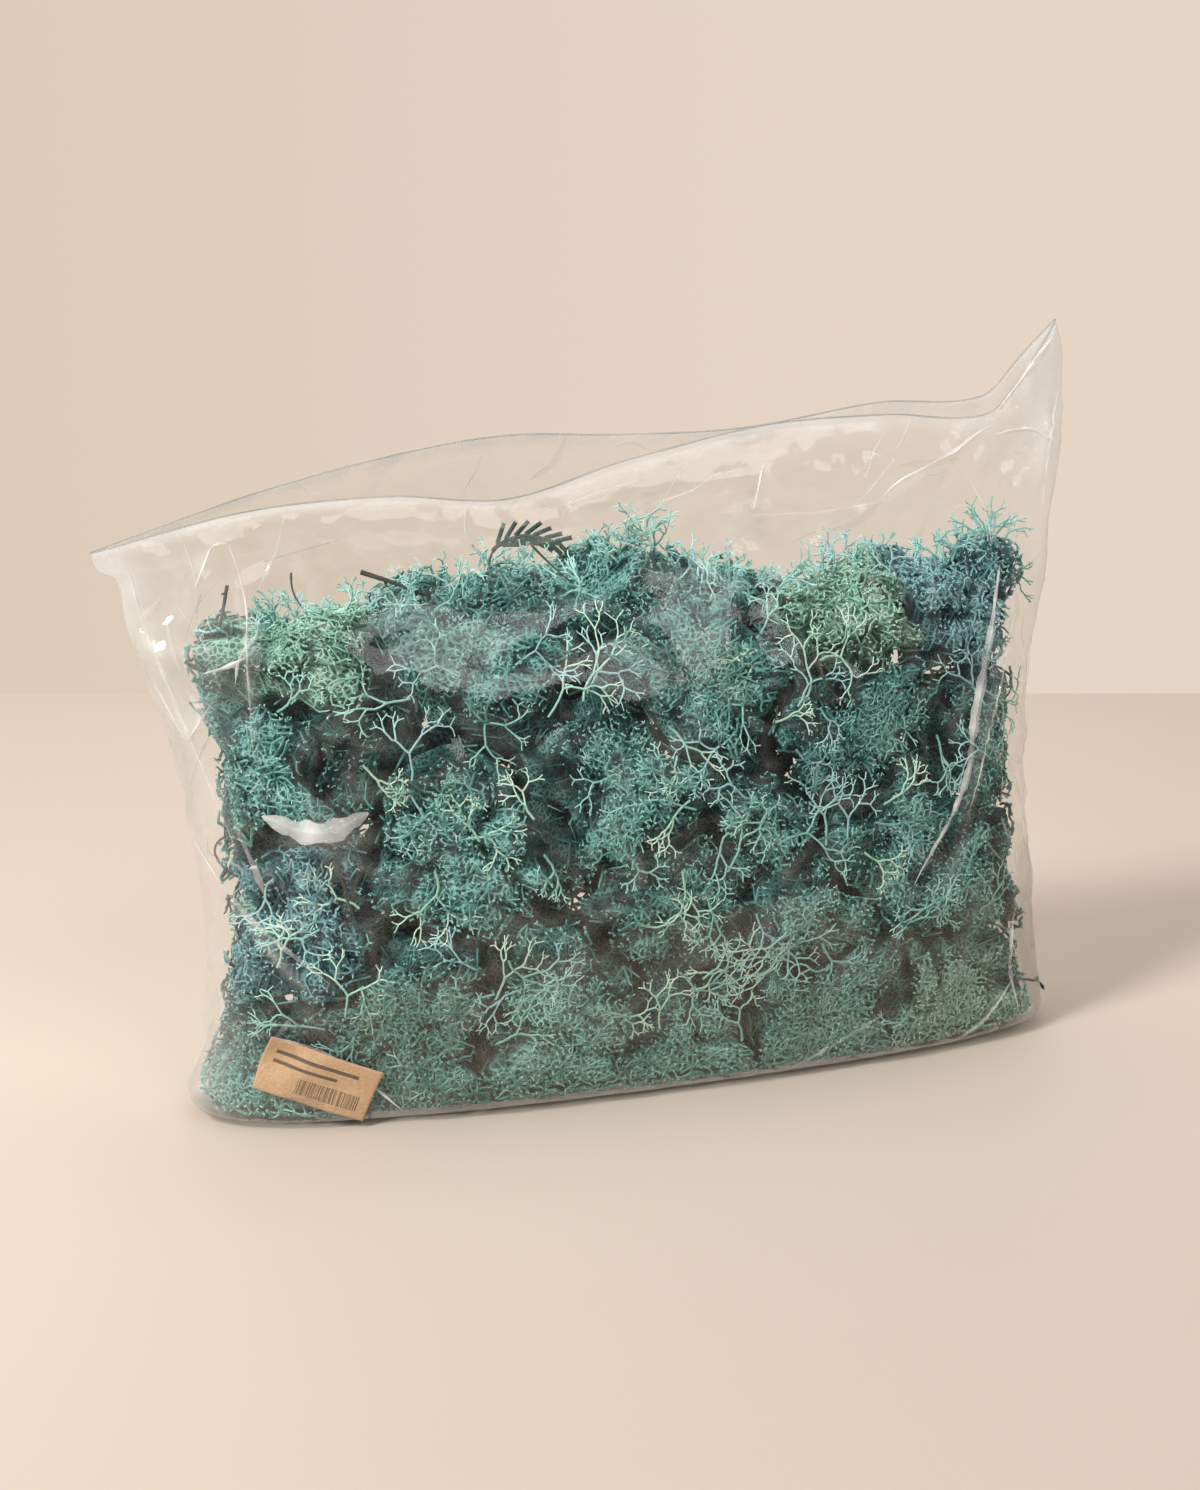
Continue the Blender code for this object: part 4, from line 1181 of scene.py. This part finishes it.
def strand_tree():
    """Branching paths over a head's skin, forked at their ends, with thickness, over a core painted dark as
    shade.
    """
    t, given = new_group("lichen_strands", (
        ("Seed", "NodeSocketInt", 1),
        ("Strand Radius", "NodeSocketFloat", 0.00038),
        ("Root Radius", "NodeSocketFloat", 0.00085),
        ("Tip Length", "NodeSocketFloat", 0.0014),
        ("Core Depth", "NodeSocketFloat", 0.0034),
        ("Wander", "NodeSocketFloat", 1.3),
        ("Finish", "NodeSocketMaterial", None),
    ))
    out_way = named(t, "out", "FLOAT_VECTOR")
    net = toned_net(t, given, marked_paths(t, given))
    for seed in TINE_SEEDS:
        net = forked(t, given, net, out_way, seed)
    curve = t.add("GeometryNodeMeshToCurve", {0: net}).outputs[0]
    ring = t.add("GeometryNodeCurvePrimitiveCircle", {"Resolution": STRAND_SIDES, "Radius": 1.0}).outputs[0]
    strands = t.add("GeometryNodeCurveToMesh", {0: curve, 1: ring, "Scale": named(t, "width"),
                                                "Fill Caps": True}).outputs[0]
    joined = t.add("GeometryNodeJoinGeometry")
    t.tree.links.new(sunk_core(t, given, out_way), joined.inputs[0])
    t.tree.links.new(strands, joined.inputs[0])
    return finish_group(t, joined.outputs[0], given["Finish"])


def set_inputs(modifier, values):
    """Sets a Geometry Nodes modifier's inputs by their identifiers."""
    for item in modifier.node_group.interface.items_tree:
        if item.item_type == "SOCKET" and item.in_out == "INPUT" and item.name in values:
            modifier[item.identifier] = values[item.name]


def settled(obj):
    """Turns an object's modifiers into its plain mesh."""
    made = bpy.data.meshes.new_from_object(obj.evaluated_get(bpy.context.evaluated_depsgraph_get()))
    obj.modifiers.clear()
    obj.data = made
    made.name = obj.name
    return obj


def node_centre(name):
    """The middle of a solid's surface."""
    mesh = frame["nodes"][name].data
    areas = np.array([face.area for face in mesh.polygons])
    middles = np.array([tuple(face.center) for face in mesh.polygons])
    return Vector((middles * areas[:, None]).sum(axis=0) / areas.sum())


def spread_directions(count, draw):
    """Directions spread over a ball, with a little jitter."""
    k = np.arange(count)
    z = 1 - (2 * k + 1) / count
    ring = np.sqrt(1 - z * z)
    golden = math.pi * (3 - math.sqrt(5))
    ways = np.stack([ring * np.cos(golden * k), ring * np.sin(golden * k), z], axis=1)
    ways += draw.normal(0.0, 0.012, ways.shape)
    return ways / np.linalg.norm(ways, axis=1, keepdims=True)


def pushed_about(places):
    """Places moved by slow waves, so that neighbouring heads meet along uneven seams."""
    moved = places.copy()
    for size, far in SEAM_WAVES:
        x, y, z = places[..., 0] / size, places[..., 1] / size, places[..., 2] / size
        moved[..., 0] += far * np.sin(y + 1.7) * np.cos(z * 1.2 + 0.4)
        moved[..., 1] += far * np.sin(z + 0.3) * np.cos(x * 1.1 + 2.1)
        moved[..., 2] += far * np.sin(x + 2.6) * np.cos(y * 1.3 + 1.2)
    return moved


def beyond_outline(places):
    """How far places are past the lichen's top or its two sides, below zero inside."""
    x, z = places[..., 0], places[..., 2]
    top = np.interp(x, *np.array(MOSS_TOP).T) - TOP_DROP
    levels, gaps = np.array(BAG_LEVELS), np.array(SIDE_GAPS)
    left = np.interp(z, levels[:, 2], levels[:, 1]) + np.interp(z, gaps[:, 0], gaps[:, 1])
    right = np.interp(z, levels[:, 4], levels[:, 3]) - np.interp(z, gaps[:, 0], gaps[:, 2])
    return np.maximum(z - top, np.maximum(left - x, x - right))


def seam_distances(ways, centre, others):
    """How far each way goes before it reaches a neighbour's share of the bag."""
    base = np.array(centre)
    steps = np.arange(SEAM_STEP, HEAD_REACH + SEAM_STEP, SEAM_STEP)
    places = pushed_about(base + ways[:, None, :] * steps[None, :, None])
    past = np.full(places.shape[:2], -1.0)
    for other in others:
        apart = np.array(other) - base
        far = np.linalg.norm(apart)
        past = np.maximum(past, (places - base) @ (apart / far) - far / 2)
    past = np.maximum(past, beyond_outline(places))
    crossed = past > 0
    crossed[:, -1] = True
    first = np.maximum(crossed.argmax(axis=1), 1)
    row = np.arange(len(ways))
    before, after = past[row, first - 1], past[row, first]
    share = np.where(after > 0, -before / np.maximum(after - before, 1e-9), 1.0)
    return steps[first - 1] + np.clip(share, 0, 1) * SEAM_STEP


def film_distances(ways, centre, film):
    """How far each way goes before it meets the film."""
    hits = [film.ray_cast(centre, Vector(way))[3] for way in ways]
    return np.array([2 * HEAD_REACH if hit is None else hit for hit in hits])


def thin_out(places, spacing, draw):
    """Picks places at random so that each one keeps the others out of its own spacing."""
    free = np.ones(len(places), bool)
    kept = []
    for i in draw.permutation(len(places)):
        if free[i]:
            kept.append(i)
            free &= ((places - places[i])**2).sum(axis=1) >= spacing[i]**2
    return np.array(kept)


def tufted(ways, room, draw):
    """An outline of many small rounded tufts with hollows between them, held inside the room."""
    reach = np.maximum(room - TUFT_DEPTH, room * LEAST_REACH_SHARE)
    for k in thin_out(ways * room[:, None], np.full(len(ways), TUFT_SPACING), draw):
        size = min(draw.uniform(*TUFT_SIZES), room[k] * LARGEST_TUFT_SHARE)
        middle = ways[k] * (room[k] - size - draw.uniform(0.0, TUFT_DROP))
        along = ways @ middle
        inside = along**2 - middle @ middle + size**2
        hit = inside > 0
        reach[hit] = np.maximum(reach[hit], along[hit] + np.sqrt(inside[hit]))
    return np.minimum(reach + draw.normal(0, RADIAL_JITTER, len(ways)), room - EDGE_GAP)


def kept_clear(ways, reach, base, sticks):
    """The reach drawn in where it would cross a twig."""
    for start, end, radius in sticks:
        along = end - start
        for _ in range(CLEARING_STEPS):
            places = base + ways * reach[:, None]
            share = np.clip((places - start) @ along / (along @ along), 0, 1)
            away = np.linalg.norm(places - start - share[:, None] * along, axis=1)
            shorter = np.maximum(reach - CLEARING_STEP, SHORTEST_REACH)
            reach = np.where(away < radius + STICK_CLEARANCE, shorter, reach)
    return reach


def hollows(places):
    """How deep wandering hollows sink into the heads."""
    values = np.array([noise.noise(Vector(place) / HOLLOW_SIZE) for place in places])
    deep = np.clip(values * HOLLOW_STEEPNESS - HOLLOW_THRESHOLD, 0, 1)
    front = places[:, 1] < 0
    for x, z, width in SHADED_HOLLOW_PLACES:
        deep = np.maximum(deep, front * beside(places, x, z, width))
    for x, z, width in FULL_PLACES:
        deep *= 1 - front * beside(places, x, z, width)
    return HOLLOW_DEPTH * deep


def beside(places, x, z, width):
    """One at a place on the front, fading to nothing past the width."""
    away = np.hypot(places[:, 0] - x, places[:, 2] - z) / width
    return np.clip(1.6 - 1.4 * away, 0, 1)


def head_skin(name, centre, others, film, sticks, draw):
    """A head's outer skin, as a mesh: fine where it shows, coarse where other heads hide it."""
    base = np.array(centre)
    ways = spread_directions(DIRECTIONS, draw)
    film_far = film_distances(ways, centre, film)
    seam_far = seam_distances(ways, centre, others)
    room = np.minimum(seam_far, film_far)
    rounded = room - EDGE_ROUNDING * np.exp(-np.abs(seam_far - film_far) / EDGE_REACH)
    sunk = hollows(base + ways * room[:, None])
    rounded -= sunk
    reach = tufted(ways, rounded, draw)
    near_floor = base[2] + ways[:, 2] * room < FLOOR_FILL
    reach = np.where(near_floor, np.maximum(reach, room - EDGE_GAP * 1.3), reach)
    reach = kept_clear(ways, reach, base, sticks)
    places = base + ways * reach[:, None]
    seen = (film_far - reach < SEEN_DEPTH) | (places[:, 2] > SEEN_HEIGHT)
    kept = thin_out(places, np.where(seen, FINE_SPACING, COARSE_SPACING), draw)
    shell = bmesh.new()
    for i in kept:
        shell.verts.new(ways[i])
    bmesh.ops.convex_hull(shell, input=shell.verts[:])
    shell.verts.index_update()
    faces = [tuple(vert.index for vert in face.verts) for face in shell.faces]
    shell.free()
    mesh = bpy.data.meshes.new(name)
    mesh.from_pydata(places[kept].tolist(), [], faces)
    # Depth below the outline, painted as shade: darker deep down, paler towards the outside.
    deep_shade = (room - reach - sunk * HOLLOW_SHADE_SPARED)[kept] / TUFT_DEPTH
    rooted = np.argsort(-deep_shade + draw.uniform(0, 0.4, len(kept)))
    root = np.zeros(len(kept))
    for k in thin_out_in_order(places[kept], rooted, ROOT_SPACING):
        root[k] = 1.0
    store(mesh, "root", root)
    store(mesh, "high", 1 - np.clip(deep_shade, 0, 1))
    store(mesh, "seen", seen[kept].astype(float))
    store(mesh, "out", ways[kept], "FLOAT_VECTOR")
    return mesh


def thin_out_in_order(places, order, spacing):
    """Picks places in the given order, each no nearer than the spacing to one picked before."""
    free = np.ones(len(places), bool)
    for k in order:
        if free[k]:
            free &= ((places - places[k])**2).sum(axis=1) >= spacing**2
            yield k


def stick_lines():
    """The straight line through each twig's solid, with its radius."""
    found = []
    for name in frame["nodes"]:
        if not name.startswith(("twig_", "stem_")):
            continue
        points = np.array([tuple(vert.co) for vert in frame["nodes"][name].data.vertices])
        middle = points.mean(axis=0)
        _, _, axes = np.linalg.svd(points - middle)
        along = (points - middle) @ axes[0]
        away = np.linalg.norm(points - middle - along[:, None] * axes[0], axis=1)
        found.append((middle + axes[0] * along.min(), middle + axes[0] * along.max(), float(away.max())))
    return found


def make_heads(finishes, film):
    """The fine heads of lichen, one for each solid."""
    slots = {part["node"]: part["material_slot"] for part in frame["record"]["subparts"]}
    names = sorted(name for name in frame["nodes"] if name.startswith(NODE_PREFIX))
    centres = {name: node_centre(name) for name in names}
    sticks = stick_lines()
    strands = strand_tree()
    pieces = []
    for k, name in enumerate(names):
        draw = np.random.default_rng(HEAD_SEED + k)
        centre = centres[name]
        others = [place for other, place in centres.items()
                  if other != name and (place - centre).length < NEIGHBOUR_REACH]
        near = [stick for stick in sticks
                if (Vector((stick[0] + stick[1]) / 2) - centre).length < STICK_REACH]
        piece = mesh_object("fine_" + name, head_skin("fine_" + name, centre, others, film, near, draw))
        modifier = piece.modifiers.new("strands", "NODES")
        modifier.node_group = strands
        set_inputs(modifier, {"Seed": k + 1, "Finish": finishes[slots[name]]})
        pieces.append((piece, slots[name], name))
    for piece, slot, name in pieces:
        declare(settled(piece), slot, name)


def grow(draw, start, way, length, levels, flat):
    """A forking spray: its points, its edges, and each point's level, from the foot to the ends."""
    points, edges, ages = [start], [], [0]
    fronts = [(0, way, length, 0)]
    while fronts:
        at, way, length, level = fronts.pop()
        for _ in range(SPRAY_STEPS):
            wander = Vector([draw.gauss(0, SPRAY_WANDER) for _ in range(3)])
            wander.y *= flat
            way = (way + wander).normalized()
            points.append(points[at] + way * length / SPRAY_STEPS)
            ages.append(level + 1)
            edges.append((at, len(points) - 1))
            at = len(points) - 1
        if level + 1 < levels:
            for side in (-1, 1):
                aside = Vector([draw.gauss(0, 1) for _ in range(3)])
                aside.y *= flat
                aside = way.cross(aside.normalized() if flat > 0.5 else Vector((0, 1, 0))).normalized()
                fork = (way + aside * side * draw.uniform(*FORK_SPREAD)).normalized()
                fronts.append((at, fork, length * draw.uniform(*FORK_LENGTHS), level + 1))
    return points, edges, ages


def bag_depth(film, x, z):
    """The front and back of the bag's inside at a place, or None where the film is too near."""
    front = film.ray_cast(Vector((x, 0, z)), Vector((0, -1, 0)))[0]
    back = film.ray_cast(Vector((x, 0, z)), Vector((0, 1, 0)))[0]
    if front is None or back is None or back.y - front.y < LEAST_ROOM:
        return None
    return front.y + SPRAY_GAP, back.y - SPRAY_GAP


def spray_starts(draw):
    """Where sprays grow, side -1 or 1 pressed on the front or back film, 0 standing on the top."""
    for x, z, side, turn, length, dye in CHOSEN_SPRAYS:
        yield x, z, side, math.radians(turn), length, dye
    for k in range(PRESSED_SPRAYS):
        dye = draw.choice(PRESSED_DYES)
        side = -1 if k % 5 < 4 else 1
        yield (draw.uniform(*PRESSED_X), draw.uniform(*PRESSED_Z), side, draw.uniform(0, 2 * math.pi),
               draw.uniform(*PRESSED_LENGTHS), dye)
    for k in range(TOP_SPRAYS):
        x = TOP_LEFT + TOP_WIDTH * (k + draw.random()) / TOP_SPRAYS
        top = float(np.interp(x, *np.array(MOSS_TOP).T))
        dye = draw.choice(TOP_DYES)
        yield x, top - TOP_SINK, 0, math.pi / 2 + draw.gauss(0, 0.5), draw.uniform(*TOP_LENGTHS), dye


def tube_tree():
    """Round branches along a mesh's edges, each point with its own width."""
    t, given = new_group("branch_tubes", (
        ("Thickness", "NodeSocketFloat", 1.0),
        ("Sides", "NodeSocketInt", 4),
        ("Finish", "NodeSocketMaterial", None),
    ))
    curve = t.add("GeometryNodeMeshToCurve", {0: given["Geometry"]}).outputs[0]
    ring = t.add("GeometryNodeCurvePrimitiveCircle", {"Resolution": given["Sides"],
                                                      "Radius": 1.0}).outputs[0]
    width = t.math("MULTIPLY", named(t, "width"), given["Thickness"])
    tubes = t.add("GeometryNodeCurveToMesh", {0: curve, 1: ring, "Scale": width,
                                              "Fill Caps": True}).outputs[0]
    return finish_group(t, tubes, given["Finish"])


def branch_piece(name, branches, tubes, finish, sides=4):
    """A piece of round branches, from its corners, links and widths, and its tones where it has them."""
    corners, links, widths, tones = branches
    mesh = bpy.data.meshes.new(name)
    mesh.from_pydata([tuple(corner) for corner in corners], links, [])
    store(mesh, "width", widths)
    if tones:
        store(mesh, "tone_and_shade", tones)
    piece = mesh_object(name, mesh)
    modifier = piece.modifiers.new("branches", "NODES")
    modifier.node_group = tubes
    set_inputs(modifier, {"Finish": finish, "Sides": sides})
    return settled(piece)


def make_litter(film, tubes, bark):
    """Dead dark stems that lie among the lichen, close behind the front film."""
    draw = random.Random(LITTER_SEED)
    corners, links, widths = [], [], []
    for x0, z0, x1, z1, radius in LITTER:
        away = Vector((z0 - z1, 0, x1 - x0)).normalized() * draw.uniform(-LITTER_BEND, LITTER_BEND)
        for k in range(LITTER_STEPS + 1):
            share = k / LITTER_STEPS
            x, z = x0 + (x1 - x0) * share, z0 + (z1 - z0) * share
            y = bag_depth(film, x, z)[0] + LITTER_GAP + radius
            corners.append(Vector((x, y, z)) + away * math.sin(math.pi * share))
            widths.append(radius * (1.1 - 0.5 * share) * draw.uniform(0.85, 1.15))
            if k:
                links.append((len(corners) - 2, len(corners) - 1))
    declare(branch_piece("dead_stems", (corners, links, widths, None), tubes, bark, LITTER_SIDES), "bark")


def inside_line(film, points, count):
    """A smooth line through points given by x, the depth behind the front film, and z."""
    line = []
    for x, behind, z in bent_line(points, count):
        front = film.ray_cast(Vector((x, 0, z)), Vector((0, -1, 0)))[0]
        line.append(Vector((x, front.y + behind, z)))
    return line


def make_twigs(film, tubes, bark):
    """The twigs and the curled stem, finer: rough, tapered, with short stubs of broken side twigs."""
    draw = random.Random(TWIG_SEED)
    for name, radius, points in STICKS:
        line = inside_line(film, points, TWIG_POINTS)
        last = len(line) - 1
        corners = list(line)
        links = [(k - 1, k) for k in range(1, len(line))]
        widths = [radius * (1 - TWIG_TAPER * k / last) * (0.86 + 0.12 * noise.noise(point * 400))
                  for k, point in enumerate(line)]
        for k in range(3, last - 1, TWIG_STUB_STEP):
            along = (line[k + 1] - line[k - 1]).normalized()
            aside = along.cross(Vector([draw.gauss(0, 1) for _ in range(3)])).normalized()
            corners.append(line[k] + (aside + along * 0.6) * radius * TWIG_STUB_LENGTH)
            widths.append(widths[k] * TWIG_STUB_WIDTH)
            links.append((k, len(corners) - 1))
        piece = branch_piece("fine_" + name, (corners, links, widths, None), tubes, bark, TWIG_SIDES)
        declare(piece, "bark", name)


def add_scale(corners, faces, foot, way, aside, length, width):
    """Adds one small scale leaf: a slim closed diamond."""
    first = len(corners)
    flat = way.cross(aside).normalized() * width * 0.3
    half = aside * width / 2
    middle = foot + way * length * 0.45
    corners += [foot, middle + half, middle + flat, middle - half, middle - flat, foot + way * length]
    for a, b in ((1, 2), (2, 3), (3, 4), (4, 1)):
        faces.append((first, first + b, first + a))
        faces.append((first + 5, first + a, first + b))


def sprig_lines(film):
    """The sprig's stem and its side twigs, each a row of points with the first one that has leaves."""
    stem = inside_line(film, SPRIG_POINTS, STEM_POINTS)
    last = len(stem) - 1
    lines = [(stem, BARE_POINTS)]
    for k in range(LEAFLETS):
        at = int((1 + (k + 0.5) / LEAFLETS * 2) / 3 * last)
        turn = LEAFLET_ANGLE if k % 2 else -LEAFLET_ANGLE
        along = (stem[min(at + 1, last)] - stem[at - 1]).normalized()
        way = Matrix.Rotation(turn, 3, "Y") @ along
        length = LEAFLET_LENGTH * (1 - LEAFLET_TAPER * k / LEAFLETS)
        lines.append(([stem[at] + way * length * step / 9 for step in range(10)], 1))
    return lines


def make_sprig(film, finish):
    """The conifer sprig: a stem and side twigs, all clad in small scale leaves."""
    corners, faces = [], []
    front = Vector((0, 1, 0))
    lines = sprig_lines(film)
    for line, first in lines:
        for k in range(first, len(line) - 1):
            along = (line[k + 1] - line[k - 1 if k else 0]).normalized()
            across = along.cross(front).normalized()
            for side in (-1, 1):
                way = (along + across * side * SCALE_SPLAY).normalized()
                flat = front.cross(way).normalized()
                add_scale(corners, faces, line[k], way, flat, SCALE_LENGTH, SCALE_WIDTH)
            foot = line[k] - front * SCALE_STAND
            add_scale(corners, faces, foot, along, across, SCALE_LENGTH * 0.8, SCALE_WIDTH)
    stem = lines[0][0]
    for start, end in zip(stem, stem[1:]):
        step = end - start
        add_scale(corners, faces, start - step * 0.3, step.normalized(), step.cross(front).normalized(),
                  step.length * 2.4, STEM_WIDTH)
    piece = skin_object("fine_conifer_sprig", corners, faces, finish, turned=True)
    declare(piece, "needles", "conifer_sprig")


def add_spray(grown, film, draw, start):
    """Grows one spray, and keeps those of its points that have room inside the bag."""
    x, z, side, turn, length, dye = start
    depth = bag_depth(film, x, z)
    if depth is None:
        return
    way = Vector((math.cos(turn), 0, math.sin(turn)))
    y = {-1: depth[0], 1: depth[1], 0: draw.uniform(depth[0], depth[1]) * 0.6}[side]
    levels = SPRAY_LEVELS if side else TOP_LEVELS
    points, edges, ages = grow(draw, Vector((x, y, z)), way, length, levels, PRESSED_FLAT if side else 1.0)
    corners, links, widths, tones = grown[dye]
    kept = {}
    for k, point in enumerate(points):
        depth = bag_depth(film, point.x, point.z)
        if depth is None:
            continue
        if side:
            point.y = depth[0 if side < 0 else 1] - side * draw.uniform(0, SPRAY_UNEVEN)
        point.y = min(max(point.y, depth[0]), depth[1])
        kept[k] = len(corners)
        corners.append(point)
        share = ages[k] / levels
        widths.append(SPRAY_FOOT + (SPRAY_END - SPRAY_FOOT) * share)
        tones.append(SPRAY_TONE + (1 - SPRAY_TONE) * share)
    links += [(kept[a], kept[b]) for a, b in edges if a in kept and b in kept]


def add_strays(grown, draw):
    """A few dark strands at the right foot of the bag."""
    corners, links, widths, tones = grown["lichen_deep"]
    points, edges, _ = grow(draw, Vector(STRAY_FOOT), Vector(STRAY_WAY), STRAY_LENGTH, STRAY_LEVELS, 1.0)
    links += [(a + len(corners), b + len(corners)) for a, b in edges]
    corners += [Vector((point.x, point.y, max(point.z, SPRAY_END * 2))) for point in points]
    widths += [STRAY_RADIUS] * len(points)
    tones += [STRAY_TONE] * len(points)


def make_sprays(finishes, film, tubes):
    """Pale forking sprays that lie against the film and stand up from the top."""
    draw = random.Random(SPRAY_SEED)
    grown = {dye: ([], [], [], []) for dye in DYES}
    for start in spray_starts(draw):
        add_spray(grown, film, draw, start)
    add_strays(grown, draw)
    for dye, branches in grown.items():
        declare(branch_piece("sprays_" + dye, branches, tubes, finishes[dye]), dye)


# Label


def label_sheet(solid):
    """The label's front, column by column, lying on its solid, with each point's share across and up."""
    corners = [vert.co for vert in solid.vertices]
    skin = mesh_skin(solid)
    middle = sum(corners, Vector()) / len(corners)
    spread = np.array([(co.x - middle.x, co.z - middle.z) for co in corners])
    along = np.array((math.cos(LABEL_SLOPE), math.sin(LABEL_SLOPE)))
    across = np.array((-math.sin(LABEL_SLOPE), math.cos(LABEL_SLOPE)))
    half_long = np.abs(spread @ along).max() - LABEL_INSET
    half_tall = np.abs(spread @ across).max() - LABEL_INSET
    places, shares = [], []
    for i in range(LABEL_COLUMNS + 1):
        for j in range(LABEL_ROWS + 1):
            u, v = i / LABEL_COLUMNS, j / LABEL_ROWS
            shift = along * (u * 2 - 1) * half_long + across * (v * 2 - 1) * half_tall
            x, z = middle.x + shift[0], middle.z + shift[1]
            hit = skin.ray_cast(Vector((x, -0.3, z)), Vector((0, 1, 0)))[0]
            places.append(Vector((x, hit.y if hit else middle.y, z)))
            shares.append((u, v))
    return places, shares


def ironed(depths):
    """A grid of depths with its creases smoothed away."""
    for _ in range(LABEL_SMOOTHINGS):
        padded = np.pad(depths, 1, mode="edge")
        around = padded[:-2, 1:-1] + padded[2:, 1:-1] + padded[1:-1, :-2] + padded[1:-1, 2:]
        depths = (around + 2 * depths) / 6
    return depths


def sheet_faces(columns, rows):
    """Faces of a thin sheet's front and back and of the rim between them."""
    stride = rows + 1
    total = (columns + 1) * stride
    faces = []
    for i in range(columns):
        for j in range(rows):
            a, b = i * stride + j, (i + 1) * stride + j
            faces.append((a, b, b + 1, a + 1))
            faces.append((total + a + 1, total + b + 1, total + b, total + a))
    rim = ([i * stride for i in range(columns)] + [columns * stride + j for j in range(rows)]
           + [i * stride + rows for i in range(columns, 0, -1)] + list(range(rows, 0, -1)))
    for a, b in zip(rim, rim[1:] + rim[:1]):
        faces.append((total + a, total + b, b, a))
    return faces


def make_label(finish):
    """The kraft label, a smooth thin sheet over its solid's front."""
    front, shares = label_sheet(frame["nodes"]["paper_label"].data)
    depths = np.array([point.y for point in front]).reshape(LABEL_COLUMNS + 1, LABEL_ROWS + 1)
    for point, y in zip(front, ironed(depths).ravel()):
        point.y = y
    back = [point + Vector((0, LABEL_THICKNESS, 0)) for point in front]
    faces = sheet_faces(LABEL_COLUMNS, LABEL_ROWS)
    piece = skin_object("kraft_label", front + back, faces, finish, smooth=True)
    layer = piece.data.uv_layers.new(name="sheet")
    uv = shares + shares
    for loop in piece.data.loops:
        layer.data[loop.index].uv = uv[loop.vertex_index]
    declare(piece, "kraft", "paper_label")


# Stage


def add_area(name, place, width, height, power, colour):
    light = bpy.data.lights.new(name, "AREA")
    light.shape = "RECTANGLE"
    light.size = width
    light.size_y = height
    light.energy = power
    light.color = colour
    obj = bpy.data.objects.new(name, light)
    obj.location = place
    obj.rotation_euler = (Vector(LIGHT_TARGET) - Vector(place)).to_track_quat("-Z", "Y").to_euler()
    bpy.context.scene.collection.objects.link(obj)


def make_floor():
    """The pale floor, from below the camera's front to the far edge it looks at."""
    forward = Vector((math.sin(CAMERA_TURN), math.cos(CAMERA_TURN), 0))
    right = Vector((forward.y, -forward.x, 0))
    below = Vector((CAMERA_PLACE[0], CAMERA_PLACE[1], 0))
    edge = [below + forward * FLOOR_DEPTH + right * FLOOR_SPREAD * side for side in (1, -1)]
    near = [below + forward * FLOOR_NEAR + right * FLOOR_SPREAD * side for side in (-1, 1)]
    corners = [(*point.xy, -FLOOR_GAP) for point in edge + near]
    skin_object("floor", corners, [(0, 1, 2, 3)], floor_material())


def make_room():
    """The room's pale walls, and the softer light that they give."""
    world = bpy.data.worlds.new("room")
    bpy.context.scene.world = world
    world.use_nodes = True
    world.node_tree.nodes.clear()
    t = Tree(world.node_tree)
    way = t.add("ShaderNodeSeparateXYZ", {0: t.add("ShaderNodeTexCoord").outputs["Generated"]}).outputs
    lit = t.mix(t.range(way[1], -0.5, 0.6), (0.20, 0.18, 0.165, 1.0), (0.55, 0.48, 0.42, 1.0))
    wall = t.mix(t.range(way[0], -0.25, 0.45), (0.700, 0.560, 0.440, 1.0), (0.830, 0.700, 0.590, 1.0))
    seen = t.add("ShaderNodeLightPath").outputs["Is Camera Ray"]
    room = t.add("ShaderNodeBackground", {0: t.mix(seen, lit, wall), 1: ROOM_STRENGTH})
    t.add("ShaderNodeOutputWorld", {0: room.outputs[0]})


def make_camera():
    data = bpy.data.cameras.new("camera")
    data.lens = CAMERA_LENS
    data.sensor_width = SENSOR_WIDTH
    data.sensor_fit = "AUTO"
    camera = bpy.data.objects.new("camera", data)
    camera.location = CAMERA_PLACE
    camera.rotation_euler = (math.pi / 2 - CAMERA_DOWN, 0.0, -CAMERA_TURN)
    bpy.context.scene.collection.objects.link(camera)
    bpy.context.scene.camera = camera


def make_stage():
    """Floor, daylight, room and camera."""
    make_floor()
    for light in AREA_LIGHTS:
        add_area(*light)
    make_room()
    make_camera()
    bpy.context.scene.view_settings.view_transform = "Standard"
    bpy.context.scene.cycles.transparent_max_bounces = 32
    bpy.context.scene.cycles.max_bounces = 8


def main():
    make_stage()
    finishes = {name: lichen_material(name) for name in DYES}
    bark, needles = bark_material(), needle_material()
    film_finish = film_material()
    film = make_film(film_finish)
    make_pleats(film, film_finish)
    make_lip(film, edge_material())
    solid_film = mesh_skin(frame["nodes"]["film_bag"].data)
    make_heads(finishes, solid_film)
    tubes = tube_tree()
    make_litter(solid_film, tubes, bark)
    make_twigs(solid_film, tubes, bark)
    make_sprig(solid_film, needles)
    make_sprays(finishes, solid_film, tubes)
    make_label(kraft_material())


main()
